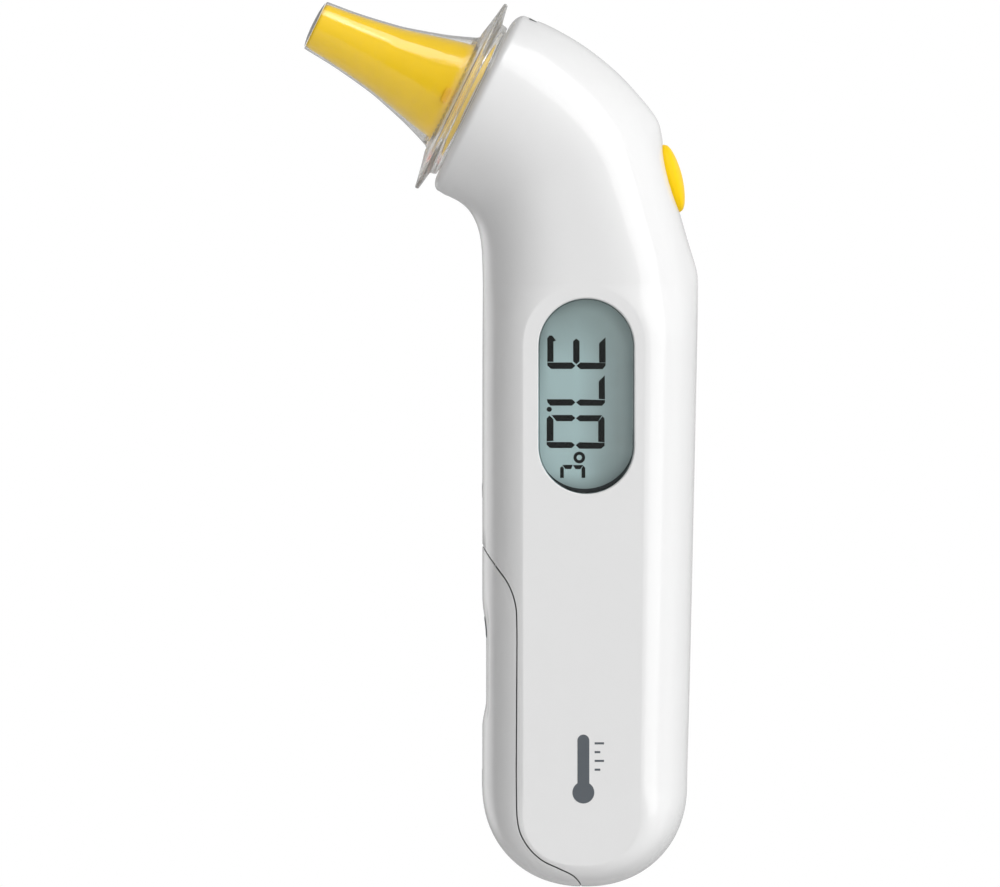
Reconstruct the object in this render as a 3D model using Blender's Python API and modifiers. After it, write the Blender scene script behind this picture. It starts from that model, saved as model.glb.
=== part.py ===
"""Hook-shaped digital ear thermometer, modelled as the assembly it comes apart into.

Frame: +Z runs up the handle, -Y is the display side (front) and +Y the back, and the probe
points to -X and up. The origin is at the middle of the flat back pad, the face the instrument
is laid down on. Dimensions are in millimetres; objects are built in metres.
"""

import math
from typing import NamedTuple

import bmesh
import bpy
from mathutils import Matrix, Vector

MM = 0.001

# ---------------------------------------------------------------- driving dimensions
HALF_DEPTH = 15.0  # flat pads lie this far either side of the joint plane
MID_Y = -HALF_DEPTH  # joint plane of the two half shells
WALL = 1.8
SHELL_GAP = 0.1  # each half stops this short of the joint plane
FRONT, REAR = -1, 1  # sides of the joint plane

# Outline of the handle: (z, left x, right x)
HANDLE = [
    (-33.44, -16.43, 16.30),
    (-20.0, -16.43, 16.69),
    (-4.0, -16.43, 17.06),
    (12.0, -16.43, 17.41),
    (28.0, -16.42, 17.76),
    (36.8, -16.40, 17.95),
]
# Flat pad: a round upper end, straight sides and a superelliptic lower end
PAD_X, PAD_TOP_Z, PAD_TOP_R = -0.16, HANDLE[-1][0], 9.68
PAD_LEFT, PAD_RIGHT_TOP = PAD_X - PAD_TOP_R, PAD_X + PAD_TOP_R
PAD_RIGHT_LOW = 8.70
PAD_END_Z, PAD_END_HEIGHT, PAD_END_POWER = -38.24, 8.0, 2.3
FOOT_X, FOOT_Z, FOOT_R, FOOT_POWER = -0.065, HANDLE[0][0], 16.4, 2.15

# How square the crowned section is: the power of its superellipse, 2 being round
SQUARE_HANDLE, SQUARE_NECK, SQUARE_NOSE, SQUARE_FOOT = 4.8, 3.4, 2.0, 12.0

# Head: sections that fan round from level to square across the probe, (left x, z, right x, z)
HEAD = [
    (-16.35, 46.48, 18.06, 46.48),
    (-16.38, 48.10, 17.97, 48.10),
    (-16.42, 49.70, 17.58, 49.80),
    (-16.51, 51.84, 16.56, 53.12),
    (-16.75, 53.92, 15.36, 57.28),
    (-17.15, 55.60, 14.00, 62.24),
    (-17.71, 56.96, 12.72, 67.20),
    (-18.43, 58.16, 12.21, 70.72),
    (-19.28, 59.07, 11.44, 73.04),
    (-20.16, 59.74, 8.96, 76.32),
    (-21.04, 60.22, 4.96, 80.56),
    (-21.79, 60.59, -0.16, 84.64),
    (-22.48, 60.86, -5.44, 87.71),
]

# Mesh divisions of the body
HEAD_STEPS, ARCH_STEPS, FOOT_STEPS, FLANK_STEPS = 14, 6, 16, 7
HANDLE_LEVELS = (30, 12, 4, -5, -14, -24)  # heights of the rows below the pad's round end

# Probe: its axis, measured from the middle of the filter's flange, and distances along it
PROBE_X, PROBE_Z, PROBE_TILT = -19.76, 76.59, 26.0
NOSE_R, NOSE_OFFSET, NOSE_ALONG = 15.6, 0.4, -3.5
NOSE_FACE_R, NOSE_FACE_OFFSET, NOSE_FACE_ALONG = 13.1, 0.1, -2.0
SPIGOT_R, SPIGOT_ALONG, SPIGOT_FLARE = 12.15, -1.3, 0.05
PROBE_HOLE_R, PROBE_HOLE_END = 9.75, -3.7
# Inside of the nose, from the probe hole to the inner sheet: (along, radius, offset)
NOSE_INSIDE = [(PROBE_HOLE_END, 12.6, 0.1), (-4.6, 13.7, 0.35)]
COLLAR_R = 10.2
PIN_R, PIN_OFFSET, PIN_CLEARANCE = 0.9, 11.3, 0.2

# Start button: its axis, measured from the middle of its rim
BUTTON_X, BUTTON_Z, BUTTON_TILT = 14.08, 63.5, 13.65
BUTTON_R, BUTTON_HOLE_R = 5.6, 5.85
BUTTON_OVAL = 0.75  # width of the cap and its hole from front to back, as a share of height

# Display window, a pill shape
WINDOW_X, WINDOW_Z, WINDOW_R, WINDOW_HALF = 0.16, 28.6, 7.65, 15.6
WINDOW_GAP, WINDOW_LEDGE = 0.15, 1.2

# Slot in the crown of the head
SLOT_SIZE, SLOT_X, SLOT_Z, SLOT_TILT = (1.4, 6.0, 1.35), -8.35, 88.62, 27.0

# Battery door seam, seen from the side: (x, z)
SEAM = [
    (-18.6, 9.6), (-16.2, 4.4), (-14.3, 1.5), (-12.4, -1.2), (-11.25, -4.2),
    (-10.92, -8.0), (-10.95, -20.0), (-11.0, -34.0), (-10.7, -39.9), (-9.3, -43.1),
    (-7.0, -45.4), (-4.2, -46.8), (-2.0, -47.9), (-0.8, -49.3), (-0.4, -51.5),
]
SEAM_GAP, SEAM_STEPS = 0.3, 3
DOOR_CUT_LEFT, DOOR_CUT_LOW, DOOR_CUT_Y = -34.0, -60.0, (-45.0, 15.0)

# Thumb recess in the door's left face
THUMB_R, THUMB_HALF, THUMB_DEPTH, THUMB_Z, THUMB_CUT_HALF = 6.3, 8.8, 0.62, -15.3, 4.0

# Screws: (tag, x, z) for the housing, (x, z, depth of the post's front end) for the board
HOUSING_SCREWS = [("low", 8.0, -31.0), ("top", -3.0, 56.5)]
BOARD_SCREWS = [(-9.2, 49.8, -12.0), (9.2, 49.8, -12.0), (8.4, -21.5, -13.4)]

# Main board: the y of its two faces, and of the components' feet behind it
BOARD_Y, PARTS_Y = (-22.7, -21.7), -21.5

# AAA cells: CELL_SIDE is the distance of each from the joint plane
CELL_R, CELL_LENGTH, CELL_NUB_R, CELL_NUB = 5.25, 44.5, 1.9, 0.9
CELL_X, CELL_SIDE, CELL_LOW, CELL_HIGH = -8.05, 5.75, -36.8, 5.3
CELL_CLEARANCE = 0.2

COIL_STEPS, COIL_END = 12, 0.25  # points per turn and rise of each closed end turn

# ---------------------------------------------------------------- scene
for old in list(bpy.data.objects):
    bpy.data.objects.remove(old)

parts = bpy.data.collections.new("ear_thermometer")
bpy.context.scene.collection.children.link(parts)
cutters = bpy.data.collections.new("cutters")
bpy.context.scene.collection.children.link(cutters)


def material(name, colour, roughness, metallic=0.0, alpha=1.0):
    made = bpy.data.materials.new(name)
    made.use_nodes = True
    inputs = made.node_tree.nodes["Principled BSDF"].inputs
    inputs["Base Color"].default_value = (*colour, 1.0)
    inputs["Roughness"].default_value = roughness
    inputs["Metallic"].default_value = metallic
    if alpha < 1.0:
        inputs["Transmission Weight"].default_value = 0.9
        inputs["Alpha"].default_value = alpha
    return made


WHITE = material("white_gloss_plastic", colour=(0.84, 0.84, 0.84), roughness=0.22)
YELLOW = material("yellow_plastic", colour=(0.86, 0.56, 0.02), roughness=0.3)
SOFT_YELLOW = material("yellow_elastomer", colour=(0.93, 0.68, 0.01), roughness=0.5)
CLEAR = material("clear_polypropylene", colour=(0.92, 0.93, 0.92), roughness=0.1, alpha=0.35)
WINDOW = material("clear_window", colour=(0.9, 0.93, 0.92), roughness=0.05, alpha=0.3)
LCD_GREY = material("lcd_glass", colour=(0.28, 0.36, 0.36), roughness=0.25)
ORANGE = material("orange_plastic", colour=(0.75, 0.17, 0.06), roughness=0.4)
GREEN = material("circuit_board", colour=(0.02, 0.16, 0.06), roughness=0.45)
BLACK = material("black_plastic", colour=(0.03, 0.03, 0.03), roughness=0.45)
STEEL = material("plated_steel", colour=(0.62, 0.62, 0.63), roughness=0.3, metallic=1.0)
GOLD = material("gold_plate", colour=(0.83, 0.6, 0.25), roughness=0.22, metallic=1.0)
ZINC = material("zinc_block", colour=(0.55, 0.56, 0.58), roughness=0.4, metallic=1.0)
RUBBER = material("dark_rubber", colour=(0.04, 0.04, 0.045), roughness=0.7)
GREY = material("grey_plastic", colour=(0.35, 0.36, 0.37), roughness=0.5)
FLEX = material("amber_flex", colour=(0.55, 0.26, 0.05), roughness=0.35)
CELL = material("cell_jacket", colour=(0.09, 0.13, 0.2), roughness=0.35)
RED = material("red_wire", colour=(0.6, 0.03, 0.03), roughness=0.45)


# ---------------------------------------------------------------- filing and modifiers
def move_to(obj, collection, parent):
    for current in list(obj.users_collection):
        current.objects.unlink(obj)
    collection.objects.link(obj)
    if parent is not None:
        obj.parent = parent


def finish(obj, surface, parent=None, sharp_angle=35.0):
    """Files an object as a part; a sharp angle of 0 leaves a mesh flat shaded."""
    move_to(obj, parts, parent)
    obj.data.materials.append(surface)
    if sharp_angle and obj.type == "MESH":
        obj.data.shade_smooth()
        obj.data.set_sharp_from_angle(angle=math.radians(sharp_angle))
    return obj


def helper(obj, parent=None):
    """Files an object as a hidden operand of a boolean."""
    move_to(obj, cutters, parent)
    obj.hide_render = True
    obj.display_type = "WIRE"
    return obj


def boolean(obj, other, operation="DIFFERENCE"):
    modifier = obj.modifiers.new(operation.lower(), "BOOLEAN")
    modifier.operation = operation
    modifier.solver = "EXACT"
    modifier.object = other


def cut(obj, other, parent=None):
    boolean(obj, helper(other, parent))


def join(obj, other, parent=None):
    boolean(obj, helper(other, parent), "UNION")


# ---------------------------------------------------------------- basic shapes
def link_new(name, data):
    obj = bpy.data.objects.new(name, data)
    bpy.context.scene.collection.objects.link(obj)
    return obj


def clean(mesh, merge=True):
    """Turns the normals outwards, after merging doubled vertices if asked."""
    bm = bmesh.new()
    bm.from_mesh(mesh)
    if merge:
        bmesh.ops.remove_doubles(bm, verts=bm.verts, dist=1e-7)
    bmesh.ops.recalc_face_normals(bm, faces=bm.faces)
    bm.to_mesh(mesh)
    bm.free()


def mesh_object(name, points, faces, edges=()):
    mesh = bpy.data.meshes.new(name)
    mesh.from_pydata([Vector(point) * MM for point in points], list(edges), list(faces))
    mesh.update()
    return link_new(name, mesh)


def axis_empty(name, location, turn):
    """The frame of an assembly, turned about y by an angle in degrees."""
    frame = bpy.data.objects.new(name, None)
    frame.location = Vector(location) * MM
    frame.rotation_euler = (0, math.radians(turn), 0)
    frame.empty_display_size = 5 * MM
    parts.objects.link(frame)
    return frame


def box(name, low, high, bevel=0.0):
    bpy.ops.mesh.primitive_cube_add(size=1.0)
    obj = bpy.context.object
    obj.name = obj.data.name = name
    low, high = Vector(low) * MM, Vector(high) * MM
    size = high - low
    obj.data.transform(Matrix.Diagonal((size.x, size.y, size.z, 1.0)))
    obj.location = (low + high) / 2
    if bevel:
        edges = obj.modifiers.new("edges", "BEVEL")
        edges.width = bevel * MM
        edges.segments = 2
        edges.limit_method = "ANGLE"
    return obj


def mid_box(name, x_low, x_high, half_width, z_low, z_high):
    """A box centred on the joint plane."""
    return box(name, (x_low, MID_Y - half_width, z_low), (x_high, MID_Y + half_width, z_high))


def cylinder(name, radius, z_low, z_high, steps, x=0.0, y=0.0):
    """A cylinder along its own z, with its origin on its axis at z = 0."""
    depth = (z_high - z_low) * MM
    bpy.ops.mesh.primitive_cylinder_add(vertices=steps, radius=radius * MM, depth=depth)
    obj = bpy.context.object
    obj.name = obj.data.name = name
    obj.data.transform(Matrix.Translation((0, 0, (z_low + z_high) / 2 * MM)))
    obj.location = Vector((x, y, 0)) * MM
    return obj


ALONG_Y = (math.radians(-90.0), 0, 0)  # turns local z to +Y


def cylinder_along_y(name, radius, low, high, place, steps):
    """A cylinder along y, from low to high measured from its place."""
    obj = cylinder(name, radius, low, high, steps)
    obj.location = Vector(place) * MM
    obj.rotation_euler = ALONG_Y
    return obj


def turned(name, profile, steps=32, closed=False):
    """A turned shape: a profile of (radius, z), down its outer side, swept round z."""
    points = [(radius, 0.0, z) for radius, z in profile]
    edges = [(i, i + 1) for i in range(len(points) - 1)]
    if closed:
        edges.append((len(points) - 1, 0))
    obj = mesh_object(name, points, (), edges)
    sweep = obj.modifiers.new("turn", "SCREW")
    sweep.axis = "Z"
    sweep.angle = 2 * math.pi
    sweep.steps = sweep.render_steps = steps
    sweep.use_merge_vertices = True
    sweep.merge_threshold = 0.00001
    sweep.use_smooth_shade = True
    sweep.use_normal_calculate = False
    return obj


def poly_spline(curve, points):
    spline = curve.splines.new("POLY")
    spline.points.add(len(points) - 1)
    for target, point in zip(spline.points, points):
        target.co = (*(Vector(point) * MM), 1.0)
    return spline


def outline(name, points, y_low, y_high):
    """A flat outline of (x, z), extruded along y."""
    curve = bpy.data.curves.new(name, "CURVE")
    curve.dimensions = "2D"
    curve.fill_mode = "BOTH"
    curve.extrude = (y_high - y_low) / 2 * MM
    poly_spline(curve, [(x, z, 0.0) for x, z in points]).use_cyclic_u = True
    flat = link_new(name, curve)
    bpy.context.view_layer.update()
    graph = bpy.context.evaluated_depsgraph_get()
    mesh = bpy.data.meshes.new_from_object(flat.evaluated_get(graph))
    mesh.name = name
    clean(mesh)
    bpy.data.objects.remove(flat)
    obj = link_new(name, mesh)
    obj.rotation_euler = (math.pi / 2, 0, 0)
    obj.location = (0, (y_low + y_high) / 2 * MM, 0)
    return obj


def pill(name, radius, half, y_low, y_high, centre=(WINDOW_X, WINDOW_Z), steps=14):
    """An upright outline with round ends, extruded along y."""
    loop = []
    for sign, start in ((1, 0), (-1, 1)):
        for i in range(steps + 1):
            angle = math.pi * (start + i / steps)
            x = centre[0] + radius * math.cos(angle)
            z = centre[1] + sign * (half - radius) + radius * math.sin(angle)
            loop.append((x, z))
    return outline(name, loop, y_low, y_high)


def wire(name, points, radius):
    """A round wire through the points, with filled ends."""
    curve = bpy.data.curves.new(name, "CURVE")
    curve.dimensions = "3D"
    curve.bevel_depth = radius * MM
    curve.bevel_resolution = 1
    curve.use_fill_caps = True
    poly_spline(curve, points)
    return link_new(name, curve)


def coil(low_radius, high_radius, z_low, z_high, turns):
    """Points of a spring from z_low to z_high, with a closed turn at each end."""
    points = []
    total = (turns + 2) * COIL_STEPS
    for i in range(total + 1):
        angle = 2 * math.pi * i / COIL_STEPS
        rise = min(max((i - COIL_STEPS) / (turns * COIL_STEPS), 0.0), 1.0)
        radius = lerp(low_radius, high_radius, i / total)
        if i < COIL_STEPS:
            end = COIL_END * (i / COIL_STEPS - 1.0)
        else:
            end = COIL_END * max((i - total + COIL_STEPS) / COIL_STEPS, 0.0)
        z = z_low + COIL_END + (z_high - z_low - 2 * COIL_END) * rise + end
        points.append((radius * math.cos(angle), radius * math.sin(angle), z))
    return points


# ---------------------------------------------------------------- interpolation and probe frame
def lerp(start, end, share):
    return start + (end - start) * share


def ease(share):
    share = min(max(share, 0.0), 1.0)
    return share * share * (3 - 2 * share)


def spline_at(rows, place):
    """Catmull-Rom through rows of numbers, place from 0 to len(rows) - 1."""
    i = min(int(place), len(rows) - 2)
    f = place - i
    start, end = rows[i], rows[i + 1]
    before = rows[i - 1] if i > 0 else [2 * a - b for a, b in zip(start, end)]
    after = rows[i + 2] if i + 2 < len(rows) else [2 * b - a for a, b in zip(start, end)]
    return [
        0.5 * (
            2 * b
            + (c - a) * f
            + (2 * a - 5 * b + 4 * c - d) * f * f
            + (3 * b - a - 3 * c + d) * f ** 3
        )
        for a, b, c, d in zip(before, start, end, after)
    ]


TILT = math.radians(PROBE_TILT)
PROBE_ALONG = (-math.cos(TILT), math.sin(TILT))  # outwards along the probe, in x and z
PROBE_ACROSS = (math.sin(TILT), math.cos(TILT))  # square to it, towards +X and +Z


def on_probe(along, across):
    """(x, z) of a point given in the probe's frame."""
    return (
        PROBE_X + PROBE_ALONG[0] * along + PROBE_ACROSS[0] * across,
        PROBE_Z + PROBE_ALONG[1] * along + PROBE_ACROSS[1] * across,
    )


# ---------------------------------------------------------------- the body's form
HEAD_ROWS = HEAD + [
    (
        *on_probe(NOSE_ALONG, NOSE_OFFSET - NOSE_R),
        *on_probe(NOSE_ALONG, NOSE_OFFSET + NOSE_R),
    )
]
PAD_CENTRE_SHARE = (PAD_X - HEAD[0][0]) / (HEAD[0][2] - HEAD[0][0])


def handle_at(z):
    """Left and right edge of the handle at a height."""
    for (low_z, low_left, low_right), (high_z, high_left, high_right) in zip(HANDLE, HANDLE[1:]):
        if z <= high_z:
            share = (z - low_z) / (high_z - low_z)
            return lerp(low_left, high_left, share), lerp(low_right, high_right, share)
    top_z, top_left, top_right = HANDLE[-1]
    share = (z - top_z) / (HEAD[0][1] - top_z)
    return (
        lerp(top_left, HEAD[0][0], ease(share)),
        lerp(top_right, HEAD[0][2], math.sin(share * math.pi / 2)),
    )


def foot_outline(angle):
    cosine, sine = math.cos(angle), math.sin(angle)
    total = abs(cosine) ** FOOT_POWER + abs(sine) ** FOOT_POWER
    radius = total ** (-1 / FOOT_POWER) * FOOT_R
    return FOOT_X + radius * cosine, FOOT_Z + radius * sine


def pad_right(z):
    return lerp(PAD_RIGHT_LOW, PAD_RIGHT_TOP, (z - PAD_END_Z) / (PAD_TOP_Z - PAD_END_Z))


def in_pad(x, z):
    if z >= PAD_END_Z:
        return PAD_LEFT < x < pad_right(z)
    half_width = (PAD_RIGHT_LOW - PAD_LEFT) / 2
    across = abs(x - (PAD_RIGHT_LOW + PAD_LEFT) / 2) / half_width
    down = abs(z - PAD_END_Z) / PAD_END_HEIGHT
    return across ** PAD_END_POWER + down ** PAD_END_POWER < 1


def pad_on_ray(angle):
    """Where a ray from the foot's centre leaves the pad, found by halving."""
    low, high = 1.0, FOOT_R
    for _ in range(40):
        radius = (low + high) / 2
        if in_pad(FOOT_X + radius * math.cos(angle), FOOT_Z + radius * math.sin(angle)):
            low = radius
        else:
            high = radius
    return FOOT_X + low * math.cos(angle), FOOT_Z + low * math.sin(angle)


class Row(NamedTuple):
    """One line of the form, from a middle point out to the outline at the joint plane.

    The section along it is half a superellipse of the given power. Where the form is crowned
    higher than the flat pad, inner is the point at which the pad's plane cuts it; elsewhere
    inner is the middle itself. Rows of the head carry their number in head.
    """

    middle: tuple
    inner: tuple
    outer: tuple
    depth: float
    power: float
    head: int = None


def body_rows():
    """Rows from the nose down the left (-X) edge, round the foot and up the right edge."""
    left, right = [], []
    last = len(HEAD_ROWS) - 1
    for i in range(HEAD_STEPS, -1, -1):
        place = last * i / HEAD_STEPS
        left_x, left_z, right_x, right_z = spline_at(HEAD_ROWS, place)
        blend = ease(place / last)
        share = lerp(PAD_CENTRE_SHARE, 0.5, blend)
        middle = (lerp(left_x, right_x, share), lerp(left_z, right_z, share))
        depth = lerp(HALF_DEPTH, NOSE_R, blend)
        power = lerp(SQUARE_NECK, SQUARE_NOSE, blend)
        left.append(Row(middle, middle, (left_x, left_z), depth, power, i))
        right.append(Row(middle, middle, (right_x, right_z), depth, power, i))

    levels = []  # (z, pad's left x, pad's right x, power)
    for i in range(1, ARCH_STEPS + 1):
        angle = math.pi / 2 * (1 - i / ARCH_STEPS)
        z = PAD_TOP_Z + PAD_TOP_R * math.sin(angle)
        half = PAD_TOP_R * math.cos(angle)
        power = lerp(SQUARE_HANDLE, SQUARE_NECK, ease(math.sin(angle)))
        levels.append((z, PAD_X - half, PAD_X + half, power))
    levels += [(z, PAD_LEFT, pad_right(z), SQUARE_HANDLE) for z in HANDLE_LEVELS]
    for z, pad_left_x, pad_right_x, power in levels:
        left_x, right_x = handle_at(z)
        left.append(Row((PAD_X, z), (pad_left_x, z), (left_x, z), HALF_DEPTH, power))
        right.append(Row((PAD_X, z), (pad_right_x, z), (right_x, z), HALF_DEPTH, power))

    foot = []
    for i in range(FOOT_STEPS + 1):
        angle = math.pi * (1 + i / FOOT_STEPS)
        power = lerp(SQUARE_HANDLE, SQUARE_FOOT, ease(abs(math.sin(angle))))
        inner, outer = pad_on_ray(angle), foot_outline(angle)
        foot.append(Row((FOOT_X, FOOT_Z), inner, outer, HALF_DEPTH, power))
    return left + foot + right[::-1]


def inset_rows(rows):
    """The same rows for the inner face of the wall, moved in square to the outline."""
    moved = []
    for i, row in enumerate(rows):
        before = rows[max(i - 1, 0)].outer
        after = rows[min(i + 1, len(rows) - 1)].outer
        along_x, along_z = after[0] - before[0], after[1] - before[1]
        length = math.hypot(along_x, along_z)
        in_x, in_z = -along_z / length, along_x / length
        x, z = row.outer
        if in_x * (row.middle[0] - x) + in_z * (row.middle[1] - z) < 0:
            in_x, in_z = -in_x, -in_z
        outer = (x + in_x * WALL, z + in_z * WALL)
        moved.append(row._replace(outer=outer, depth=row.depth - WALL))
    return moved


def flank(row):
    """Points (x, depth, z) from the pad's edge or the ridge out to the joint plane."""
    whole = math.dist(row.outer, row.middle)
    start = math.dist(row.inner, row.middle) / whole
    crown = row.depth / math.sqrt(1 - start ** row.power)
    points = []
    for j in range(FLANK_STEPS + 1):
        share = lerp(start, 1.0, math.sin(math.pi / 2 * j / FLANK_STEPS))
        depth = 0.0
        if j < FLANK_STEPS:
            depth = crown * math.sqrt(max(1 - share ** row.power, 0.0))
        x = lerp(row.middle[0], row.outer[0], share)
        z = lerp(row.middle[1], row.outer[1], share)
        points.append((x, depth, z))
    return points


def nose_rings():
    """(along, radius, offset) of the rings from the outer sheet round to the inner sheet."""
    rings = []
    for quarter in (22.5, 45.0, 67.5, 90.0):
        sine, cosine = math.sin(math.radians(quarter)), math.cos(math.radians(quarter))
        along = lerp(NOSE_ALONG, NOSE_FACE_ALONG, sine)
        radius = NOSE_FACE_R + (NOSE_R - NOSE_FACE_R) * cosine
        rings.append((along, radius, lerp(NOSE_OFFSET, NOSE_FACE_OFFSET, sine)))
    rings += [
        (NOSE_FACE_ALONG, SPIGOT_R + SPIGOT_FLARE, 0.0),
        (SPIGOT_ALONG, SPIGOT_R, 0.0),
        (SPIGOT_ALONG, PROBE_HOLE_R, 0.0),
        (PROBE_HOLE_END, PROBE_HOLE_R, 0.0),
    ]
    return rings + NOSE_INSIDE


class ShellBuilder:
    """Collects the hollow halves of the body; with a gap each half is closed by a rim."""

    def __init__(self, gap):
        self.gap = gap
        self.verts, self.faces = [], []

    def vertex(self, x, depth, z, side):
        self.verts.append((x, MID_Y + side * max(depth, self.gap), z))
        return len(self.verts) - 1

    def band(self, first, second):
        for j in range(len(first) - 1):
            self.faces.append((first[j], first[j + 1], second[j + 1], second[j]))

    def sheet(self, rows, side):
        """One skin of a half; left and right rows of the head share their ridge vertex."""
        grid, ridge = [], {}
        for row in rows:
            points = flank(row)
            if row.head in ridge:
                line = [ridge[row.head]]
            else:
                line = [self.vertex(*points[0], side)]
            if row.head is not None:
                ridge[row.head] = line[0]
            line += [self.vertex(*point, side) for point in points[1:]]
            grid.append(line)
        for first, second in zip(grid, grid[1:]):
            self.band(first, second)
        pad = [line[0] for line, row in zip(grid, rows) if row.head is None or row.head == 0]
        self.faces.append(tuple(dict.fromkeys(pad)))
        return grid

    def ring(self, start, side, along, radius, offset):
        """A ring of the nose with the same spacing as the end of the body."""
        made = []
        for index in start:
            x, y, z = self.verts[index]
            across = (x - PROBE_X) * PROBE_ACROSS[0] + (z - PROBE_Z) * PROBE_ACROSS[1]
            angle = math.atan2(abs(y - MID_Y), across - NOSE_OFFSET)
            ring_x, ring_z = on_probe(along, offset + radius * math.cos(angle))
            made.append(self.vertex(ring_x, radius * math.sin(angle), ring_z, side))
        return made

    def rim(self, outer, inner, rings):
        """Closes the wall at the joint plane; the outer sheet has one more row at each end."""
        for k in range(len(inner) - 1):
            self.faces.append(
                (outer[k + 1][-1], outer[k + 2][-1], inner[k + 1][-1], inner[k][-1])
            )
        for second, first, end in ((1, 0, 0), (-2, -1, -1)):
            nose = [ring[end] for ring in rings]
            face = [outer[second][-1], outer[first][-1], *nose, inner[end][-1]]
            self.faces.append(tuple(face))

    def half(self, side):
        rows = body_rows()
        outer = self.sheet(rows, side)
        inner_rows = [row for row in inset_rows(rows) if row.head != HEAD_STEPS]
        inner = self.sheet(inner_rows, side)
        end = outer[0][::-1] + outer[-1][1:]
        inner_end = inner[0][::-1] + inner[-1][1:]
        rings = [self.ring(end, side, *sizes) for sizes in nose_rings()]
        lines = [end, *rings, inner_end]
        for first, second in zip(lines, lines[1:]):
            self.band(first, second)
        if self.gap:
            self.rim(outer, inner, rings)


def shell(name, sides, gap):
    builder = ShellBuilder(gap)
    for side in sides:
        builder.half(side)
    obj = mesh_object(name, builder.verts, builder.faces)
    clean(obj.data)
    return obj


def seam_points(offset):
    """The door's seam, moved square to itself: positive moves it into the housing."""
    line = [spline_at(SEAM, i / SEAM_STEPS) for i in range((len(SEAM) - 1) * SEAM_STEPS + 1)]
    moved = []
    for i, (x, z) in enumerate(line):
        before_x, before_z = line[max(i - 1, 0)]
        after_x, after_z = line[min(i + 1, len(line) - 1)]
        along_x, along_z = after_x - before_x, after_z - before_z
        length = math.hypot(along_x, along_z)
        moved.append((x - along_z / length * offset, z + along_x / length * offset))
    return moved


def door_prism(name, offset):
    """Everything on the door's side of the seam."""
    line = seam_points(offset)
    corners = [
        (line[-1][0], DOOR_CUT_LOW),
        (DOOR_CUT_LEFT, DOOR_CUT_LOW),
        (DOOR_CUT_LEFT, line[0][1]),
    ]
    return helper(outline(name, line + corners, *DOOR_CUT_Y))


# ---------------------------------------------------------------- frames of the assemblies
probe_axis = axis_empty("probe_axis", (PROBE_X, MID_Y, PROBE_Z), PROBE_TILT - 90.0)
pin_x, pin_z = on_probe(0.0, -PIN_OFFSET)
pin_axis = axis_empty("filter_pin_axis", (pin_x, MID_Y, pin_z), PROBE_TILT - 90.0)
button_axis = axis_empty("button_axis", (BUTTON_X, MID_Y, BUTTON_Z), 90.0 - BUTTON_TILT)

# ---------------------------------------------------------------- half shells
# Posts and holes of one housing screw: (name, radius, y from and to, steps, operation)
FRONT_SCREW_POST = [
    ("post_front", 2.6, -13.4, -0.5, 20, join),
    ("cut_pilot", 1.2, -11.0, 2.0, 12, cut),
]
REAR_SCREW_POST = [
    ("post_rear", 3.6, 0.5, 13.4, 20, join),
    ("cut_well", 2.5, 6.0, 17.0, 20, cut),
    ("cut_through", 1.3, -1.0, 8.0, 12, cut),
]
BOARD_POST_R, BOARD_POST_END = 2.0, -7.9
BOARD_PILOT_R, BOARD_PILOT_FLOOR, BOARD_PILOT_END = 0.95, 0.6, -7.0


def shared_cutters():
    """Openings that cross the joint plane and so cut both halves."""
    door_opening = door_prism("cut_door_opening", SEAM_GAP / 2)
    button_hole = cylinder("cut_button_hole", BUTTON_HOLE_R, -6.0, 5.0, steps=32)
    helper(button_hole, button_axis).scale.y = BUTTON_OVAL
    pin_hole = cylinder("cut_pin_hole", PIN_R + PIN_CLEARANCE, -6.0, 1.0, steps=16)
    helper(pin_hole, pin_axis)
    crown_slot = helper(box("cut_crown_slot", (0, 0, 0), SLOT_SIZE))
    crown_slot.location = Vector((SLOT_X, MID_Y, SLOT_Z)) * MM
    crown_slot.rotation_euler = (0, math.radians(SLOT_TILT), 0)
    return door_opening, button_hole, pin_hole, crown_slot


def add_screw_posts(housing, table):
    for tag, x, z in HOUSING_SCREWS:
        for name, radius, low, high, steps, operate in table:
            place = (x, MID_Y, z)
            operate(housing, cylinder_along_y(f"{name}_{tag}", radius, low, high, place, steps))


def add_board_posts(housing):
    for i, (x, z, front_end) in enumerate(BOARD_SCREWS):
        place = (x, MID_Y, z)
        join(housing, cylinder_along_y(
            f"post_board_{i}", BOARD_POST_R, front_end, BOARD_POST_END, place, 16))
        cut(housing, cylinder_along_y(
            f"cut_board_pilot_{i}", BOARD_PILOT_R, front_end + BOARD_PILOT_FLOOR,
            BOARD_PILOT_END, place, 12))


def build_housings():
    front = shell("front_housing", (FRONT,), SHELL_GAP)
    rear = shell("rear_housing", (REAR,), SHELL_GAP)
    add_screw_posts(front, FRONT_SCREW_POST)
    add_board_posts(front)
    add_screw_posts(rear, REAR_SCREW_POST)
    openings = shared_cutters()
    for housing in (front, rear):
        for opening in openings:
            boolean(housing, opening)
    cut(front, pill("cut_display", WINDOW_R, WINDOW_HALF, -32.0, -26.0))
    finish(front, WHITE)
    finish(rear, WHITE)


build_housings()

# ---------------------------------------------------------------- battery door
LIP_X, LIP_SIDE, LIP_Z = (-12.9, -10.0), (11.0, 11.8), (-33.0, -11.0)
# Tongue at the door's upper end: (name, x low, x high, half width, z low, z high)
TONGUE_BOXES = [
    ("tongue", -14.3, -13.45, 3.5, -2.0, 6.8),
    ("tongue_root", -15.4, -13.9, 3.5, -2.0, 0.9),
]


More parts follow.
